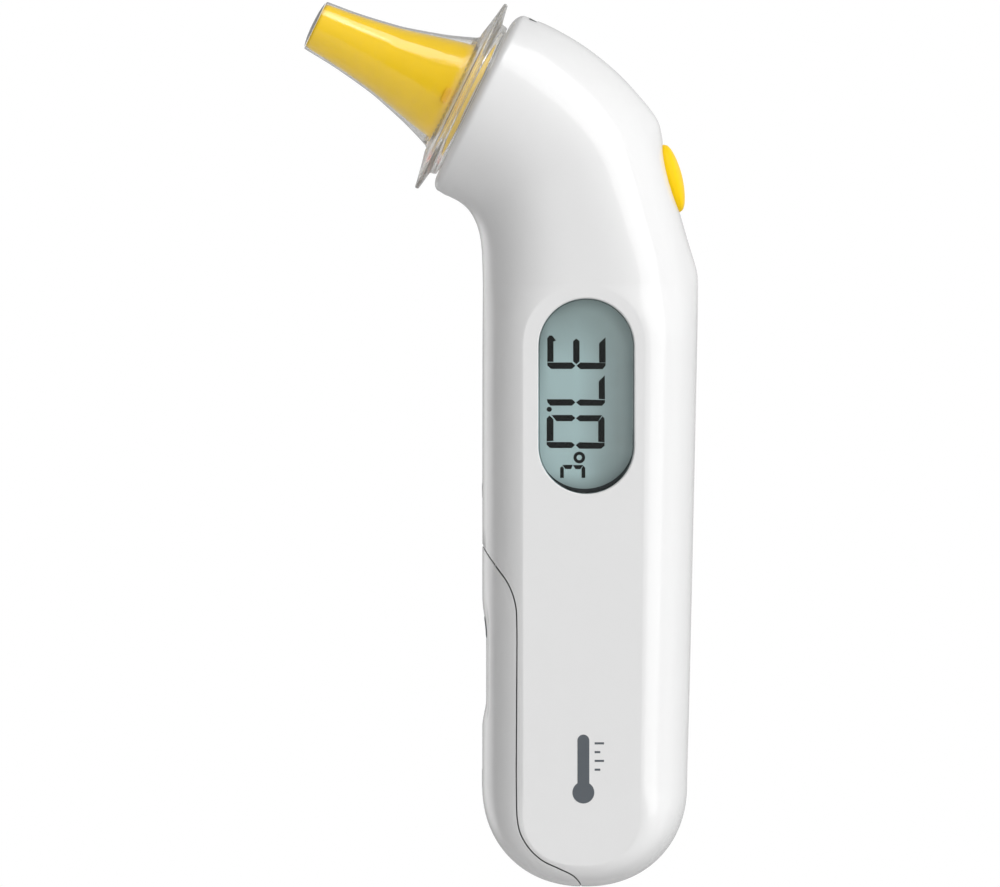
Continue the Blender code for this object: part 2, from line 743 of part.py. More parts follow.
def build_door():
    door = shell("battery_door", (FRONT, REAR), 0.0)
    boolean(door, door_prism("keep_door", -SEAM_GAP / 2), "INTERSECT")
    thumb = pill("cut_thumb_recess", THUMB_R, THUMB_HALF, -THUMB_CUT_HALF, THUMB_CUT_HALF,
                 centre=(0.0, 0.0), steps=12)
    thumb_x = HANDLE[0][1] - THUMB_CUT_HALF + THUMB_DEPTH
    thumb.location = Vector((thumb_x, MID_Y, THUMB_Z)) * MM
    thumb.rotation_euler = (math.pi / 2, 0, math.pi / 2)  # extruded along x, long in z
    cut(door, thumb)
    for side, tag in ((FRONT, "front"), (REAR, "rear")):
        y_low, y_high = sorted(MID_Y + side * distance for distance in LIP_SIDE)
        low, high = (LIP_X[0], y_low, LIP_Z[0]), (LIP_X[1], y_high, LIP_Z[1])
        join(door, box(f"lip_{tag}", low, high))
    for sizes in TONGUE_BOXES:
        join(door, mid_box(*sizes))
    finish(door, WHITE)


build_door()

# ---------------------------------------------------------------- probe
# Profiles are (radius, distance along the probe)
CONE_PROFILE = [
    (2.35, 25.75), (3.4, 25.75), (3.75, 25.35), (4.28, 20.5), (5.2, 14.6), (5.8, 11.7),
    (6.95, 6.8), (7.6, 4.1), (8.15, 1.6), (8.3, 0.1), (COLLAR_R, 0.1), (COLLAR_R, -1.2),
    (9.55, -1.2), (9.55, -2.2), (8.75, -2.2), (8.75, -3.1), (9.55, -3.1), (9.55, -6.5),
    (7.5, -6.5), (6.6, 0.5), (6.2, 2.5), (5.0, 6.0), (3.7, 12.0), (2.5, 20.0),
]
NUB_SIDE, NUB_HALF_LENGTH, NUB_HALF_WIDTH, NUB_ALONG = 7.9, 1.2, 0.5, (1.95, 2.75)
SEAL_R, SEAL_THICK_R, SEAL_ALONG, SEAL_SECTION_STEPS = 9.15, 0.28, -2.65, 8
GUIDE_PROFILE = [(1.7, 24.6), (2.05, 24.6), (2.05, 2.4), (1.7, 2.4)]
BLOCK_PROFILE = [
    (2.2, 8.0), (3.3, 8.0), (3.3, 3.2), (5.4, 2.2), (5.4, -4.2),
    (7.1, -4.2), (7.1, -6.1), (3.0, -6.1), (3.0, 1.9), (2.2, 2.1),
]
CAN_PROFILE = [
    (0.0, 1.75), (2.3, 1.75), (2.4, 1.6), (2.4, -1.4), (2.8, -1.4), (2.8, -2.0), (0.0, -2.0),
]
LEAD_COUNT, LEAD_R, LEAD_CIRCLE_R, LEAD_ALONG = 4, 0.23, 1.3, (-8.2, -1.9)
IR_WINDOW_PROFILE = [(0.0, 2.1), (1.4, 2.1), (1.4, 1.9), (0.0, 1.9)]
CLAMP_PROFILE = [(4.6, -6.8), (9.3, -6.8), (9.3, -7.9), (4.6, -7.9)]
LENS_PROFILE = [
    (3.86, 26.0), (4.1, 26.0), (4.2, 25.7), (4.72, 20.5), (5.65, 14.6), (6.3, 11.7),
    (7.7, 6.8), (8.65, 4.1), (9.35, 2.3), (9.85, 1.45), (13.0, 0.85), (16.2, 0.35),
    (16.4, 0.2), (16.4, -0.15), (16.2, -0.35), (13.25, -0.8), (13.15, -1.4), (12.85, -1.85),
    (12.5, -1.85), (12.4, -1.5), (12.4, 0.4), (9.4, 0.4), (8.9, 2.1), (8.2, 4.0),
    (7.25, 6.8), (5.95, 11.7), (5.32, 14.6), (4.38, 20.5),
]
FILM_PROFILE = [
    (0.0, 26.5), (2.2, 26.42), (3.5, 26.2), (4.0, 26.12), (3.5, 26.1), (2.2, 26.3), (0.0, 26.38),
]


def build_cone():
    cone = turned("probe_cone", CONE_PROFILE, closed=True)
    for side, tag in ((FRONT, "front"), (REAR, "rear")):
        y = side * NUB_SIDE
        low = (-NUB_HALF_LENGTH, y - NUB_HALF_WIDTH, NUB_ALONG[0])
        high = (NUB_HALF_LENGTH, y + NUB_HALF_WIDTH, NUB_ALONG[1])
        join(cone, box(f"nub_{tag}", low, high), probe_axis)
    finish(cone, YELLOW, probe_axis)


def build_seal():
    profile = []
    for i in range(SEAL_SECTION_STEPS):
        angle = math.pi / 2 - i * 2 * math.pi / SEAL_SECTION_STEPS
        radius = SEAL_R + SEAL_THICK_R * math.cos(angle)
        profile.append((radius, SEAL_ALONG + SEAL_THICK_R * math.sin(angle)))
    finish(turned("probe_seal_ring", profile, steps=28, closed=True), RUBBER, probe_axis)


def build_sensor_can():
    can = turned("sensor_can", CAN_PROFILE, steps=24)
    for i in range(LEAD_COUNT):
        angle = math.pi / 4 + i * 2 * math.pi / LEAD_COUNT
        x, y = LEAD_CIRCLE_R * math.cos(angle), LEAD_CIRCLE_R * math.sin(angle)
        join(can, cylinder(f"lead_{i}", LEAD_R, *LEAD_ALONG, steps=8, x=x, y=y), probe_axis)
    finish(can, STEEL, probe_axis)


build_cone()
build_seal()
build_sensor_can()
# Plain turned pieces of the probe: (name, profile, steps, closed, material)
for name, profile, steps, closed, surface in (
    ("waveguide_tube", GUIDE_PROFILE, 24, True, GOLD),
    ("sensor_heat_block", BLOCK_PROFILE, 28, True, ZINC),
    ("sensor_ir_window", IR_WINDOW_PROFILE, 20, False, GREY),
    ("sensor_clamp_ring", CLAMP_PROFILE, 28, True, BLACK),
    ("lens_filter", LENS_PROFILE, 32, True, CLEAR),
    ("lens_filter_film", FILM_PROFILE, 32, False, CLEAR),
):
    finish(turned(name, profile, steps, closed), surface, probe_axis)

# ---------------------------------------------------------------- sensor flex
# From the sensor down to the main board: (x, z, y, turn); the ribbon's width lies along y
# where turn is 0 and along x where it is 1
FLEX_LINE = [
    (*on_probe(-8.6, 2.6), -15.0, 0.0),
    (*on_probe(-8.6, -3.4), -15.0, 0.0),
    (-13.5, 67.2, -15.1, 0.0),
    (-12.4, 64.2, -15.4, 0.0),
    (-10.8, 61.0, -15.9, 0.0),
    (-9.4, 58.0, -16.7, 0.0),
    (-8.0, 54.8, -17.7, 0.3),
    (-6.2, 52.6, -19.1, 0.7),
    (-4.9, 50.6, -20.4, 1.0),
    (-4.4, 48.9, -21.2, 1.0),
    (-4.4, 45.2, -21.4, 1.0),
]
FLEX_HALF_WIDTH, FLEX_HALF_THICK = 1.9, 0.1


def build_flex():
    points, faces = [], [(0, 1, 2, 3)]
    for i, (x, z, y, turn) in enumerate(FLEX_LINE):
        before_x, before_z, before_y, _ = FLEX_LINE[max(i - 1, 0)]
        after_x, after_z, after_y, _ = FLEX_LINE[min(i + 1, len(FLEX_LINE) - 1)]
        along = Vector((after_x - before_x, after_y - before_y, after_z - before_z))
        along.normalize()
        across = Vector((turn, 1 - turn, 0)).normalized()
        across = (across - along * across.dot(along)).normalized()
        normal = along.cross(across)
        for wide, thick in ((-1, -1), (1, -1), (1, 1), (-1, 1)):
            shift = across * FLEX_HALF_WIDTH * wide + normal * FLEX_HALF_THICK * thick
            points.append(Vector((x, y, z)) + shift)
        if i:
            k = 4 * i
            for j in range(4):
                following = (j + 1) % 4
                faces.append((k - 4 + j, k - 4 + following, k + following, k + j))
    faces.append(tuple(range(len(points) - 4, len(points))))
    flex = mesh_object("sensor_flex_cable", points, faces)
    clean(flex.data, merge=False)
    finish(flex, FLEX)


build_flex()

# ---------------------------------------------------------------- filter detector
PIN_PROFILE = [
    (0.0, 0.2), (0.5, 0.12), (0.8, -0.15), (PIN_R, -0.5), (PIN_R, -4.2),
    (1.35, -4.2), (1.35, -4.7), (0.6, -4.7), (0.6, -7.6), (0.0, -7.6),
]
PIN_SPRING = coil(low_radius=1.05, high_radius=1.05, z_low=-8.15, z_high=-5.05, turns=3)
DETECTOR_LOW, DETECTOR_HIGH, DETECTOR_BEVEL = (-1.9, -2.4, -11.6), (1.9, 2.4, -8.5), 0.25

finish(turned("filter_detector_pin", PIN_PROFILE, steps=20), ORANGE, pin_axis)
finish(wire("filter_detector_spring", PIN_SPRING, radius=0.16), STEEL, pin_axis)
detector = box("filter_detector_switch", DETECTOR_LOW, DETECTOR_HIGH, DETECTOR_BEVEL)
finish(detector, BLACK, pin_axis)

# ---------------------------------------------------------------- start button and its switch
BUTTON_PROFILE = [
    (0.0, 1.5), (1.6, 1.45), (3.0, 1.27), (4.2, 0.93), (5.0, 0.52), (5.45, 0.1),
    (BUTTON_R, -0.4), (BUTTON_R, -4.4), (7.0, -4.4), (7.0, -5.2), (1.5, -5.2), (1.5, -7.2),
    (0.0, -7.2),
]
PLUNGER_PROFILE = [(0.0, -7.4), (1.0, -7.4), (1.15, -7.55), (1.15, -9.8), (0.0, -9.8)]
TACT_LOW, TACT_HIGH, TACT_BEVEL = (-3.0, -3.0, -12.0), (3.0, 3.0, -8.5), 0.2
PLUNGER_HOLE_R, PLUNGER_HOLE_Z = 1.35, (-10.7, -8.0)
SWITCH_BOARD_LOW, SWITCH_BOARD_HIGH = (-5.8, -4.6, -13.2), (5.8, 4.6, -12.3)

button = finish(turned("start_button", BUTTON_PROFILE), SOFT_YELLOW, button_axis)
button.scale.y = BUTTON_OVAL
finish(turned("tact_switch_plunger", PLUNGER_PROFILE, steps=20), BLACK, button_axis)
tact = box("tact_switch_body", TACT_LOW, TACT_HIGH, TACT_BEVEL)
cut(tact, cylinder("cut_plunger_hole", PLUNGER_HOLE_R, *PLUNGER_HOLE_Z, steps=20), button_axis)
finish(tact, GREY, button_axis)
finish(box("switch_board", SWITCH_BOARD_LOW, SWITCH_BOARD_HIGH), GREEN, button_axis)

# ---------------------------------------------------------------- display and main board
PANE_Y, PANE_SHOULDER_Y = (-29.85, -27.9), (-28.05, -27.2)
FRAME_LOW, FRAME_HIGH = (-10.3, -25.6, 10.6), (10.6, -23.1, 46.1)
FRAME_HOLE_LOW, FRAME_HOLE_HIGH = (-9.2, -28.0, 11.5), (9.5, -22.0, 45.2)
# Board outline: (x, z)
BOARD_LOOP = [
    (-11.4, 10.8), (-11.4, 50.5), (-9.8, 52.2), (9.8, 52.2), (11.4, 50.5),
    (11.4, -22.5), (9.8, -24.2), (2.8, -24.2), (1.4, -22.8), (1.4, 10.8),
]
BOARD_HOLE_R, BOARD_HOLE_DEPTH = 1.0, (-9.0, -5.0)
BUZZER_PLACE, BUZZER_R, BUZZER_HEIGHT = (6.4, PARTS_Y, -13.5), 4.4, 3.2
BUZZER_PORT_R, BUZZER_PORT_DEPTH = 0.9, (2.2, 4.0)
# Plain boxes: (name, low corner, high corner, edge bevel, material)
BOARD_BOXES = [
    ("lcd_panel", (-8.9, -26.8, 11.8), (9.2, -24.9, 44.9), 0.15, LCD_GREY),
    ("zebra_connector", (-8.6, -24.6, 12.2), (8.9, -23.0, 14.2), 0.0, RUBBER),
    ("microcontroller", (-1.0, PARTS_Y, 24.0), (6.0, -20.4, 31.0), 0.15, BLACK),
    ("amplifier_ic", (1.5, PARTS_Y, 38.5), (6.0, -20.5, 43.5), 0.15, BLACK),
    ("memory_ic", (3.2, PARTS_Y, -6.0), (7.2, -20.5, -1.2), 0.15, BLACK),
    ("crystal_can", (3.0, PARTS_Y, 15.0), (9.0, -19.6, 18.0), 0.5, STEEL),
]


def build_window():
    pane = pill("display_window", WINDOW_R - WINDOW_GAP, WINDOW_HALF - WINDOW_GAP, *PANE_Y)
    radius, half = WINDOW_R + WINDOW_LEDGE, WINDOW_HALF + WINDOW_LEDGE
    join(pane, pill("window_shoulder", radius, half, *PANE_SHOULDER_Y, steps=10))
    finish(pane, WINDOW)


def build_lcd_frame():
    frame = box("lcd_frame", FRAME_LOW, FRAME_HIGH)
    cut(frame, box("cut_lcd_frame", FRAME_HOLE_LOW, FRAME_HOLE_HIGH))
    finish(frame, BLACK)


def build_main_board():
    board = outline("main_board", BOARD_LOOP, *BOARD_Y)
    for i, (x, z, _) in enumerate(BOARD_SCREWS):
        place = (x, MID_Y, z)
        cut(board, cylinder_along_y(
            f"cut_board_hole_{i}", BOARD_HOLE_R, *BOARD_HOLE_DEPTH, place, steps=12))
    finish(board, GREEN, sharp_angle=0)


def build_buzzer():
    buzzer = cylinder_along_y("buzzer", BUZZER_R, 0.0, BUZZER_HEIGHT, BUZZER_PLACE, steps=28)
    cut(buzzer, cylinder_along_y(
        "cut_buzzer_port", BUZZER_PORT_R, *BUZZER_PORT_DEPTH, BUZZER_PLACE, steps=12))
    finish(buzzer, BLACK)


build_window()
build_lcd_frame()
build_main_board()
build_buzzer()
for name, low, high, bevel, surface in BOARD_BOXES:
    finish(box(name, low, high, bevel), surface)

# ---------------------------------------------------------------- battery tray, cells, contacts
# Boxes centred on the joint plane: (name, x low, x high, half width, z low, z high)
TRAY_BACK = ("battery_tray", -2.4, -1.2, 10.8, -41.3, 9.9)
TRAY_BOXES = [
    ("tray_top", -12.2, -2.0, 10.4, 8.6, 9.9),
    ("tray_foot", -10.8, -2.0, 9.3, -41.3, -40.2),
    ("tray_divider", -9.6, -2.0, 0.3, -39.4, 9.2),
    ("tray_cradle_top", -6.6, -2.0, 10.7, -3.0, -1.6),
    ("tray_cradle_low", -6.6, -2.0, 10.7, -29.0, -27.6),
]
BRIDGE_CONTACT = ("battery_bridge_contact", -10.6, -5.0, 9.0, -40.0, -39.75)
BAY_Z = (-40.1, 8.5)
CELL_PROFILE = [
    (0.0, CELL_LENGTH), (CELL_NUB_R, CELL_LENGTH), (CELL_NUB_R + 0.1, CELL_LENGTH - CELL_NUB),
    (4.9, 43.5), (CELL_R, 43.0), (CELL_R, 0.35), (4.4, 0.25), (4.2, 0.0), (0.0, 0.0),
]
# Upper contacts: (name, y low and y high from the joint plane, z low)
UPPER_CONTACTS = [
    ("battery_contact_positive", -8.6, -1.6, 8.1),
    ("battery_contact_negative", 1.6, 8.6, 8.15),
]
CONTACT_X, CONTACT_TOP = (-11.0, -5.0), 8.4
CELL_SPRING_WIRE_R, LEAD_WIRE_R = 0.25, 0.4
# Wires from the tray to the board: (x, y, z)
RED_WIRE_LINE = [
    (-8.6, -19.5, 10.3), (-8.6, -19.3, 11.4), (-8.2, -19.6, 12.6), (-7.6, -20.6, 13.4),
    (-7.0, -21.1, 14.0),
]
BLACK_WIRE_LINE = [
    (-8.6, -9.2, 10.3), (-8.4, -9.6, 11.8), (-7.4, -12.0, 13.2), (-5.8, -16.0, 14.6),
    (-4.6, -19.4, 15.6), (-4.0, -21.1, 16.2),
]


def build_tray():
    tray = mid_box(*TRAY_BACK)
    for sizes in TRAY_BOXES:
        join(tray, mid_box(*sizes))
    for side, tag in ((FRONT, "front"), (REAR, "rear")):
        y = MID_Y + side * CELL_SIDE
        radius = CELL_R + CELL_CLEARANCE
        cut(tray, cylinder(f"cut_bay_{tag}", radius, *BAY_Z, steps=28, x=CELL_X, y=y))
    finish(tray, GREY)


def build_cell(name, side, foot_z, turn):
    """An AAA cell; a turn of pi about x points its positive nub down."""
    cell = turned(name, CELL_PROFILE, steps=28)
    cell.location = Vector((CELL_X, MID_Y + side * CELL_SIDE, foot_z)) * MM
    cell.rotation_euler = (turn, 0, 0)
    finish(cell, CELL)


def build_cell_spring(name, side, points):
    spring = wire(name, points, CELL_SPRING_WIRE_R)
    spring.location = Vector((CELL_X, MID_Y + side * CELL_SIDE, 0)) * MM
    finish(spring, STEEL)


build_tray()
build_cell("battery_cell_front", FRONT, CELL_LOW, turn=0.0)
build_cell("battery_cell_rear", REAR, CELL_HIGH, turn=math.pi)
build_cell_spring("battery_spring_lower", FRONT,
                  coil(low_radius=3.4, high_radius=1.7, z_low=-39.4, z_high=-37.2, turns=2))
build_cell_spring("battery_spring_upper", REAR,
                  coil(low_radius=1.7, high_radius=3.4, z_low=5.7, z_high=7.8, turns=2))
finish(mid_box(*BRIDGE_CONTACT), STEEL)
for name, y_low, y_high, z_low in UPPER_CONTACTS:
    low = (CONTACT_X[0], MID_Y + y_low, z_low)
    high = (CONTACT_X[1], MID_Y + y_high, CONTACT_TOP)
    finish(box(name, low, high), STEEL)
finish(wire("battery_wire_red", RED_WIRE_LINE, LEAD_WIRE_R), RED)
finish(wire("battery_wire_black", BLACK_WIRE_LINE, LEAD_WIRE_R), BLACK)

# ---------------------------------------------------------------- fasteners
SLOT_HALF_WIDTH, SLOT_OVERRUN = 0.18, 1.0  # of the cross slots in the screw heads


def build_screw(name, x, z, seat, head_r, head_height, shank_r, length):
    """A pan head screw along y, its head's underside at depth seat from the joint plane."""
    profile = [
        (0.0, head_height), (head_r * 0.7, head_height), (head_r, head_height * 0.55),
        (head_r, 0.0), (shank_r, 0.0), (shank_r, -length + 0.6), (shank_r * 0.4, -length),
        (0.0, -length),
    ]
    screw = turned(name, profile, steps=20)
    screw.location = Vector((x, MID_Y + seat, z)) * MM
    screw.rotation_euler = ALONG_Y
    for i in range(2):
        low = (-head_r * 0.6, -SLOT_HALF_WIDTH, head_height * 0.45)
        high = (head_r * 0.6, SLOT_HALF_WIDTH, head_height + SLOT_OVERRUN)
        slot = box(f"cut_{name}_{i}", low, high)
        slot.rotation_euler = (0, 0, i * math.pi / 2)
        cut(screw, slot, screw)
    finish(screw, STEEL)


for i, (_, x, z) in enumerate(HOUSING_SCREWS):
    build_screw(f"housing_screw_{i + 1}", x, z, seat=6.15, head_r=2.1, head_height=1.5,
                shank_r=1.0, length=14.0)
for i, (x, z, _) in enumerate(BOARD_SCREWS):
    build_screw(f"board_screw_{i + 1}", x, z, seat=-6.55, head_r=1.6, head_height=1.0,
                shank_r=0.75, length=4.5)
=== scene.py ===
"""Hand-held infrared thermometer, built round its CAD pieces.

It stands upright along z with its middle plane at y = MID_Y. The front, with the display, faces -y.
The probe points up to the left (-x), the battery door is at the lower left and the start button
is on the right. Dimensions are in millimetres unless noted; meshes are made in metres.
"""
import math
from collections import namedtuple

import bmesh
import bpy
from mathutils import Matrix, Vector


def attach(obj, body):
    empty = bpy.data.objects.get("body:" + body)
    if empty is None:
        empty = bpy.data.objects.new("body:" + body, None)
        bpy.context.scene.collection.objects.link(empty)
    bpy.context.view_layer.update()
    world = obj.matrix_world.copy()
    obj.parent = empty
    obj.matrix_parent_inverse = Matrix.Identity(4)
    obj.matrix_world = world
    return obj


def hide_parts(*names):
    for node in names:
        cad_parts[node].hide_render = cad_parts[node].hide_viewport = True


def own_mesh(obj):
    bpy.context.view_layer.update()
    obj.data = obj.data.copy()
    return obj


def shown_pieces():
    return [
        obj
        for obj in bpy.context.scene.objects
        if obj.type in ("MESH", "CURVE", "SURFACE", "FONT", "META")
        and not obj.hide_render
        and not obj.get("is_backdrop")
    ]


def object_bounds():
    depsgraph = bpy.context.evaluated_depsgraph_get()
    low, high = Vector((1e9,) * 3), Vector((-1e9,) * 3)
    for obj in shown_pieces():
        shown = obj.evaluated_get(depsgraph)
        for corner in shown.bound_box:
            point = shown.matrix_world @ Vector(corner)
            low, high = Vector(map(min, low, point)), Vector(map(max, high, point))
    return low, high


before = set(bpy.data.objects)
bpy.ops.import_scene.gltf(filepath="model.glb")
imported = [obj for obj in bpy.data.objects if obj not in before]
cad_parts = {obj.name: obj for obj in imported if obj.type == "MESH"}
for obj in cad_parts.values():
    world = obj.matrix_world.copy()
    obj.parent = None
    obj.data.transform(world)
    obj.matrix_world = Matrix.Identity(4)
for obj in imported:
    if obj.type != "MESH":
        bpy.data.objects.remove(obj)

MM = 0.001
cad_low, cad_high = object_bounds()

# ---------------------------------------------------------------- driving dimensions (mm)
MID_Y = -15.0
HALF_DEPTH = 15.0
FRONT_Y = MID_Y - HALF_DEPTH
WALL = 1.8
SHELL_GAP = 0.09  # from the middle plane to the rim of each half shell
CREASE = 0.1  # softness of the pad's moulded edge

# The flat pad on the front and back faces: round top, straight sides, superelliptic lower end
PAD_TOP_Z, PAD_TOP_R = 36.8, 9.68
PAD_X = -0.16
PAD_LEFT, PAD_RIGHT_TOP, PAD_RIGHT_LOW = -9.84, 9.52, 8.70
PAD_END_Z, PAD_END_B, PAD_END_POWER = -38.24, 8.0, 2.3
FOOT_X, FOOT_Z, FOOT_R, FOOT_POWER = -0.065, -33.44, 16.4, 2.15
# Section powers: 2 is round, higher is squarer
SQUARE_HANDLE, SQUARE_NECK, SQUARE_NOSE, SQUARE_FOOT = 4.8, 3.4, 2.0, 12.0

# Handle outline: z, left x, right x
HANDLE = [
    (FOOT_Z, -16.43, 16.30),
    (-20.0, -16.43, 16.69),
    (-4.0, -16.43, 17.06),
    (12.0, -16.43, 17.41),
    (28.0, -16.42, 17.76),
    (PAD_TOP_Z, -16.40, 17.95),
]
# Head outline, from the neck towards the nose: left x, left z, right x, right z
HEAD = [
    (-16.35, 46.48, 18.06, 46.48),
    (-16.38, 48.10, 17.97, 48.10),
    (-16.42, 49.70, 17.58, 49.80),
    (-16.51, 51.84, 16.56, 53.12),
    (-16.75, 53.92, 15.36, 57.28),
    (-17.15, 55.60, 14.00, 62.24),
    (-17.71, 56.96, 12.72, 67.20),
    (-18.43, 58.16, 12.21, 70.72),
    (-19.28, 59.07, 11.44, 73.04),
    (-20.16, 59.74, 8.96, 76.32),
    (-21.04, 60.22, 4.96, 80.56),
    (-21.79, 60.59, -0.16, 84.64),
    (-22.48, 60.86, -5.44, 87.71),
]
# Seam between housing and battery door, from top left to the foot: x, z
SEAM = [
    (-18.6, 9.6), (-16.2, 4.4), (-14.3, 1.5), (-12.4, -1.2), (-11.25, -4.2),
    (-10.92, -8.0), (-10.95, -20.0), (-11.0, -34.0), (-10.7, -39.9), (-9.3, -43.1),
    (-7.0, -45.4), (-4.2, -46.8), (-2.0, -47.9), (-0.8, -49.3), (-0.4, -51.5),
]
SEAM_SHOWN = 0.19  # visible width of the seam

# Probe: origin, tilt above the horizontal (degrees), and stations along its axis (_AX)
PROBE_X, PROBE_Z, PROBE_TILT = -19.76, 76.59, 26.0
NOSE_R, NOSE_OFF, NOSE_AX = 15.6, 0.4, -3.5
NOSE_FLAT_R, NOSE_FACE_AX, NOSE_FACE_OFF = 13.1, -2.0, 0.1
SPIGOT_R, SPIGOT_AX = 12.15, -1.3
PROBE_HOLE_R = 9.75
HOLE_END_AX = -3.7
COLLAR_R = 10.2
PIN_R, PIN_OFFSET = 0.9, 11.3

BUTTON_X, BUTTON_Z, BUTTON_TILT = 14.08, 63.5, 13.65
BUTTON_R, BUTTON_HOLE_R, BUTTON_OVAL = 5.6, 5.85, 0.75

WINDOW_X, WINDOW_Z, WINDOW_R, WINDOW_HALF = 0.16, 28.6, 7.65, 15.6
PANE_GAP, GLASS_GAP = 0.1, 0.15  # clearances inside the window opening
PANE_FRONT, PANE_BACK = -29.85, -27.9
GLASS_FRONT, GLASS_BACK = -27.72, -26.86

HOUSING_SCREWS = [(8.0, -31.0), (-3.0, 56.5)]  # x, z

tilt = math.radians(PROBE_TILT)
PROBE_AXIS = (-math.cos(tilt), math.sin(tilt))  # x, z along the probe, outwards
PROBE_UP = (math.sin(tilt), math.cos(tilt))  # x, z across the probe, upwards


# ---------------------------------------------------------------- node tools
def srgb(*colour):
    """0-255 display values to linear."""
    shares = [value / 255 for value in colour]
    return tuple(v / 12.92 if v <= 0.04045 else ((v + 0.055) / 1.055) ** 2.4 for v in shares)


class Nodes:
    """A node tree under construction. Wherever a value is wanted, an output socket will do."""

    def __init__(self, tree):
        self.tree = tree

    def put(self, value, socket):
        if hasattr(value, "node"):
            self.tree.links.new(value, socket)
        elif socket.type == "RGBA":
            socket.default_value = (*value, 1.0)
        else:
            socket.default_value = value

    def node(self, kind, **values):
        """A node with its inputs set or linked (From_Min is "From Min"); the rest are properties."""
        node = self.tree.nodes.new(kind)
        for key, value in values.items():
            name = key.replace("_", " ")
            if name in node.inputs:
                self.put(value, node.inputs[name])
            else:
                setattr(node, key, value)
        return node

    def fill(self, kind, *values, **options):
        """A node whose first inputs take the values in order."""
        node = self.node(kind, **options)
        for value, socket in zip(values, node.inputs):
            self.put(value, socket)
        return node

    def math(self, operation, first, second, **options):
        options["operation"] = operation
        return self.fill("ShaderNodeMath", first, second, **options).outputs[0]

    def dot(self, first, second):
        node = self.fill("ShaderNodeVectorMath", first, second, operation="DOT_PRODUCT")
        return node.outputs["Value"]

    def mix_shader(self, factor, first, second):
        return self.fill("ShaderNodeMixShader", factor, first, second).outputs[0]

    def spread(self, value, to=(0.0, 1.0), over=(0.3, 0.7), **options):
        """Maps a value from the range over to the range to."""
        node = self.node(
            "ShaderNodeMapRange", Value=value, From_Min=over[0], From_Max=over[1],
            To_Min=to[0], To_Max=to[1], **options,
        )
        return node.outputs["Result"]


Layer = namedtuple("Layer", "height strength depth")  # one bump layer, its depth in mm


class Material(Nodes):
    """A node material with object-space coordinates in millimetres."""

    def __init__(self, name):
        self.data = bpy.data.materials.new(name)
        self.data.use_nodes = True
        super().__init__(self.data.node_tree)
        self.principled = self.tree.nodes["Principled BSDF"]
        scale = self.node("ShaderNodeVectorMath", operation="SCALE", Scale=1000.0)
        coordinates = self.node("ShaderNodeTexCoord").outputs["Object"]
        self.put(coordinates, scale.inputs[0])
        self.place = scale.outputs["Vector"]

    def noise(self, per_mm, detail=3.0):
        node = self.node("ShaderNodeTexNoise", Vector=self.place, Scale=per_mm, Detail=detail)
        return node.outputs["Fac"]

    def mix(self, factor, first, second):
        node = self.node("ShaderNodeMix", data_type="RGBA", Factor=factor)
        self.put(first, node.inputs[6])
        self.put(second, node.inputs[7])
        return node.outputs[2]

    def axis(self, which):
        return self.fill("ShaderNodeSeparateXYZ", self.place).outputs[which]

    def set(self, **values):
        """Sets or links inputs of the principled shader."""
        for key, value in values.items():
            self.put(value, self.principled.inputs[key.replace("_", " ")])

    def bump(self, *layers, edge=0.0):
        """Stacks bump layers over rounded edges; edge is their radius in mm."""
        normal = None
        if edge:
            normal = self.node("ShaderNodeBevel", samples=6, Radius=edge * MM).outputs["Normal"]
        for layer in layers:
            node = self.node(
                "ShaderNodeBump", Height=layer.height, Strength=layer.strength,
                Distance=layer.depth * MM,
            )
            if normal is not None:
                self.put(normal, node.inputs["Normal"])
            normal = node.outputs["Normal"]
        self.set(Normal=normal)

    def ripple(self, strength):
        """The normal of a slightly wavy clear surface."""
        height = self.noise(0.9, detail=2.0)
        node = self.node("ShaderNodeBump", Height=height, Strength=strength, Distance=0.02 * MM)
        return node.outputs["Normal"]

    def surface(self, shader):
        self.put(shader, self.tree.nodes["Material Output"].inputs["Surface"])

    def drop_principled(self):
        self.tree.nodes.remove(self.principled)


# ---------------------------------------------------------------- kinds of material
def plastic(
    name, base, roughness, tint=0.03, grain=0.15, coat=0.0, gloss=0.12,
    uneven=1.0, ior=1.49, edge=0.12,
):
    """Moulded plastic: faint flow variation in the colour, uneven gloss, a fine moulded grain.

    tint is how much darker the flow marks are, gloss the coat's roughness, uneven the share of
    waviness, and edge the radius of rounded edges in mm.
    """
    mat = Material(name)
    dark = tuple(channel * (1 - tint) for channel in base)
    mat.set(Base_Color=mat.mix(mat.spread(mat.noise(0.09, detail=2.0)), dark, base))
    rough_range = (roughness - 0.03 * uneven, roughness + 0.04 * uneven)
    mat.set(Roughness=mat.spread(mat.noise(0.2, detail=2.0), to=rough_range), IOR=ior)
    if coat:
        mat.set(Coat_Weight=coat, Coat_Roughness=gloss, Coat_IOR=1.5)
    mat.bump(
        Layer(mat.noise(0.12, detail=1.0), strength=0.1 * uneven, depth=0.02),
        Layer(mat.noise(4.0, detail=2.0), strength=grain, depth=0.003),
        edge=edge,
    )
    return mat


def metal(name, base, roughness, brushed=0.0):
    """Plated or brushed metal: tarnish in the colour, streaked gloss."""
    mat = Material(name)
    tarnished = tuple(channel * 0.82 for channel in base)
    mat.set(Base_Color=mat.mix(mat.spread(mat.noise(0.8, detail=5.0)), tarnished, base))
    rough_range = (roughness - 0.07, roughness + 0.12)
    mat.set(Metallic=1.0, Roughness=mat.spread(mat.noise(2.5, detail=4.0), to=rough_range))
    mat.bump(Layer(mat.noise(14.0), strength=0.15 + brushed, depth=0.004), edge=0.05)
    return mat


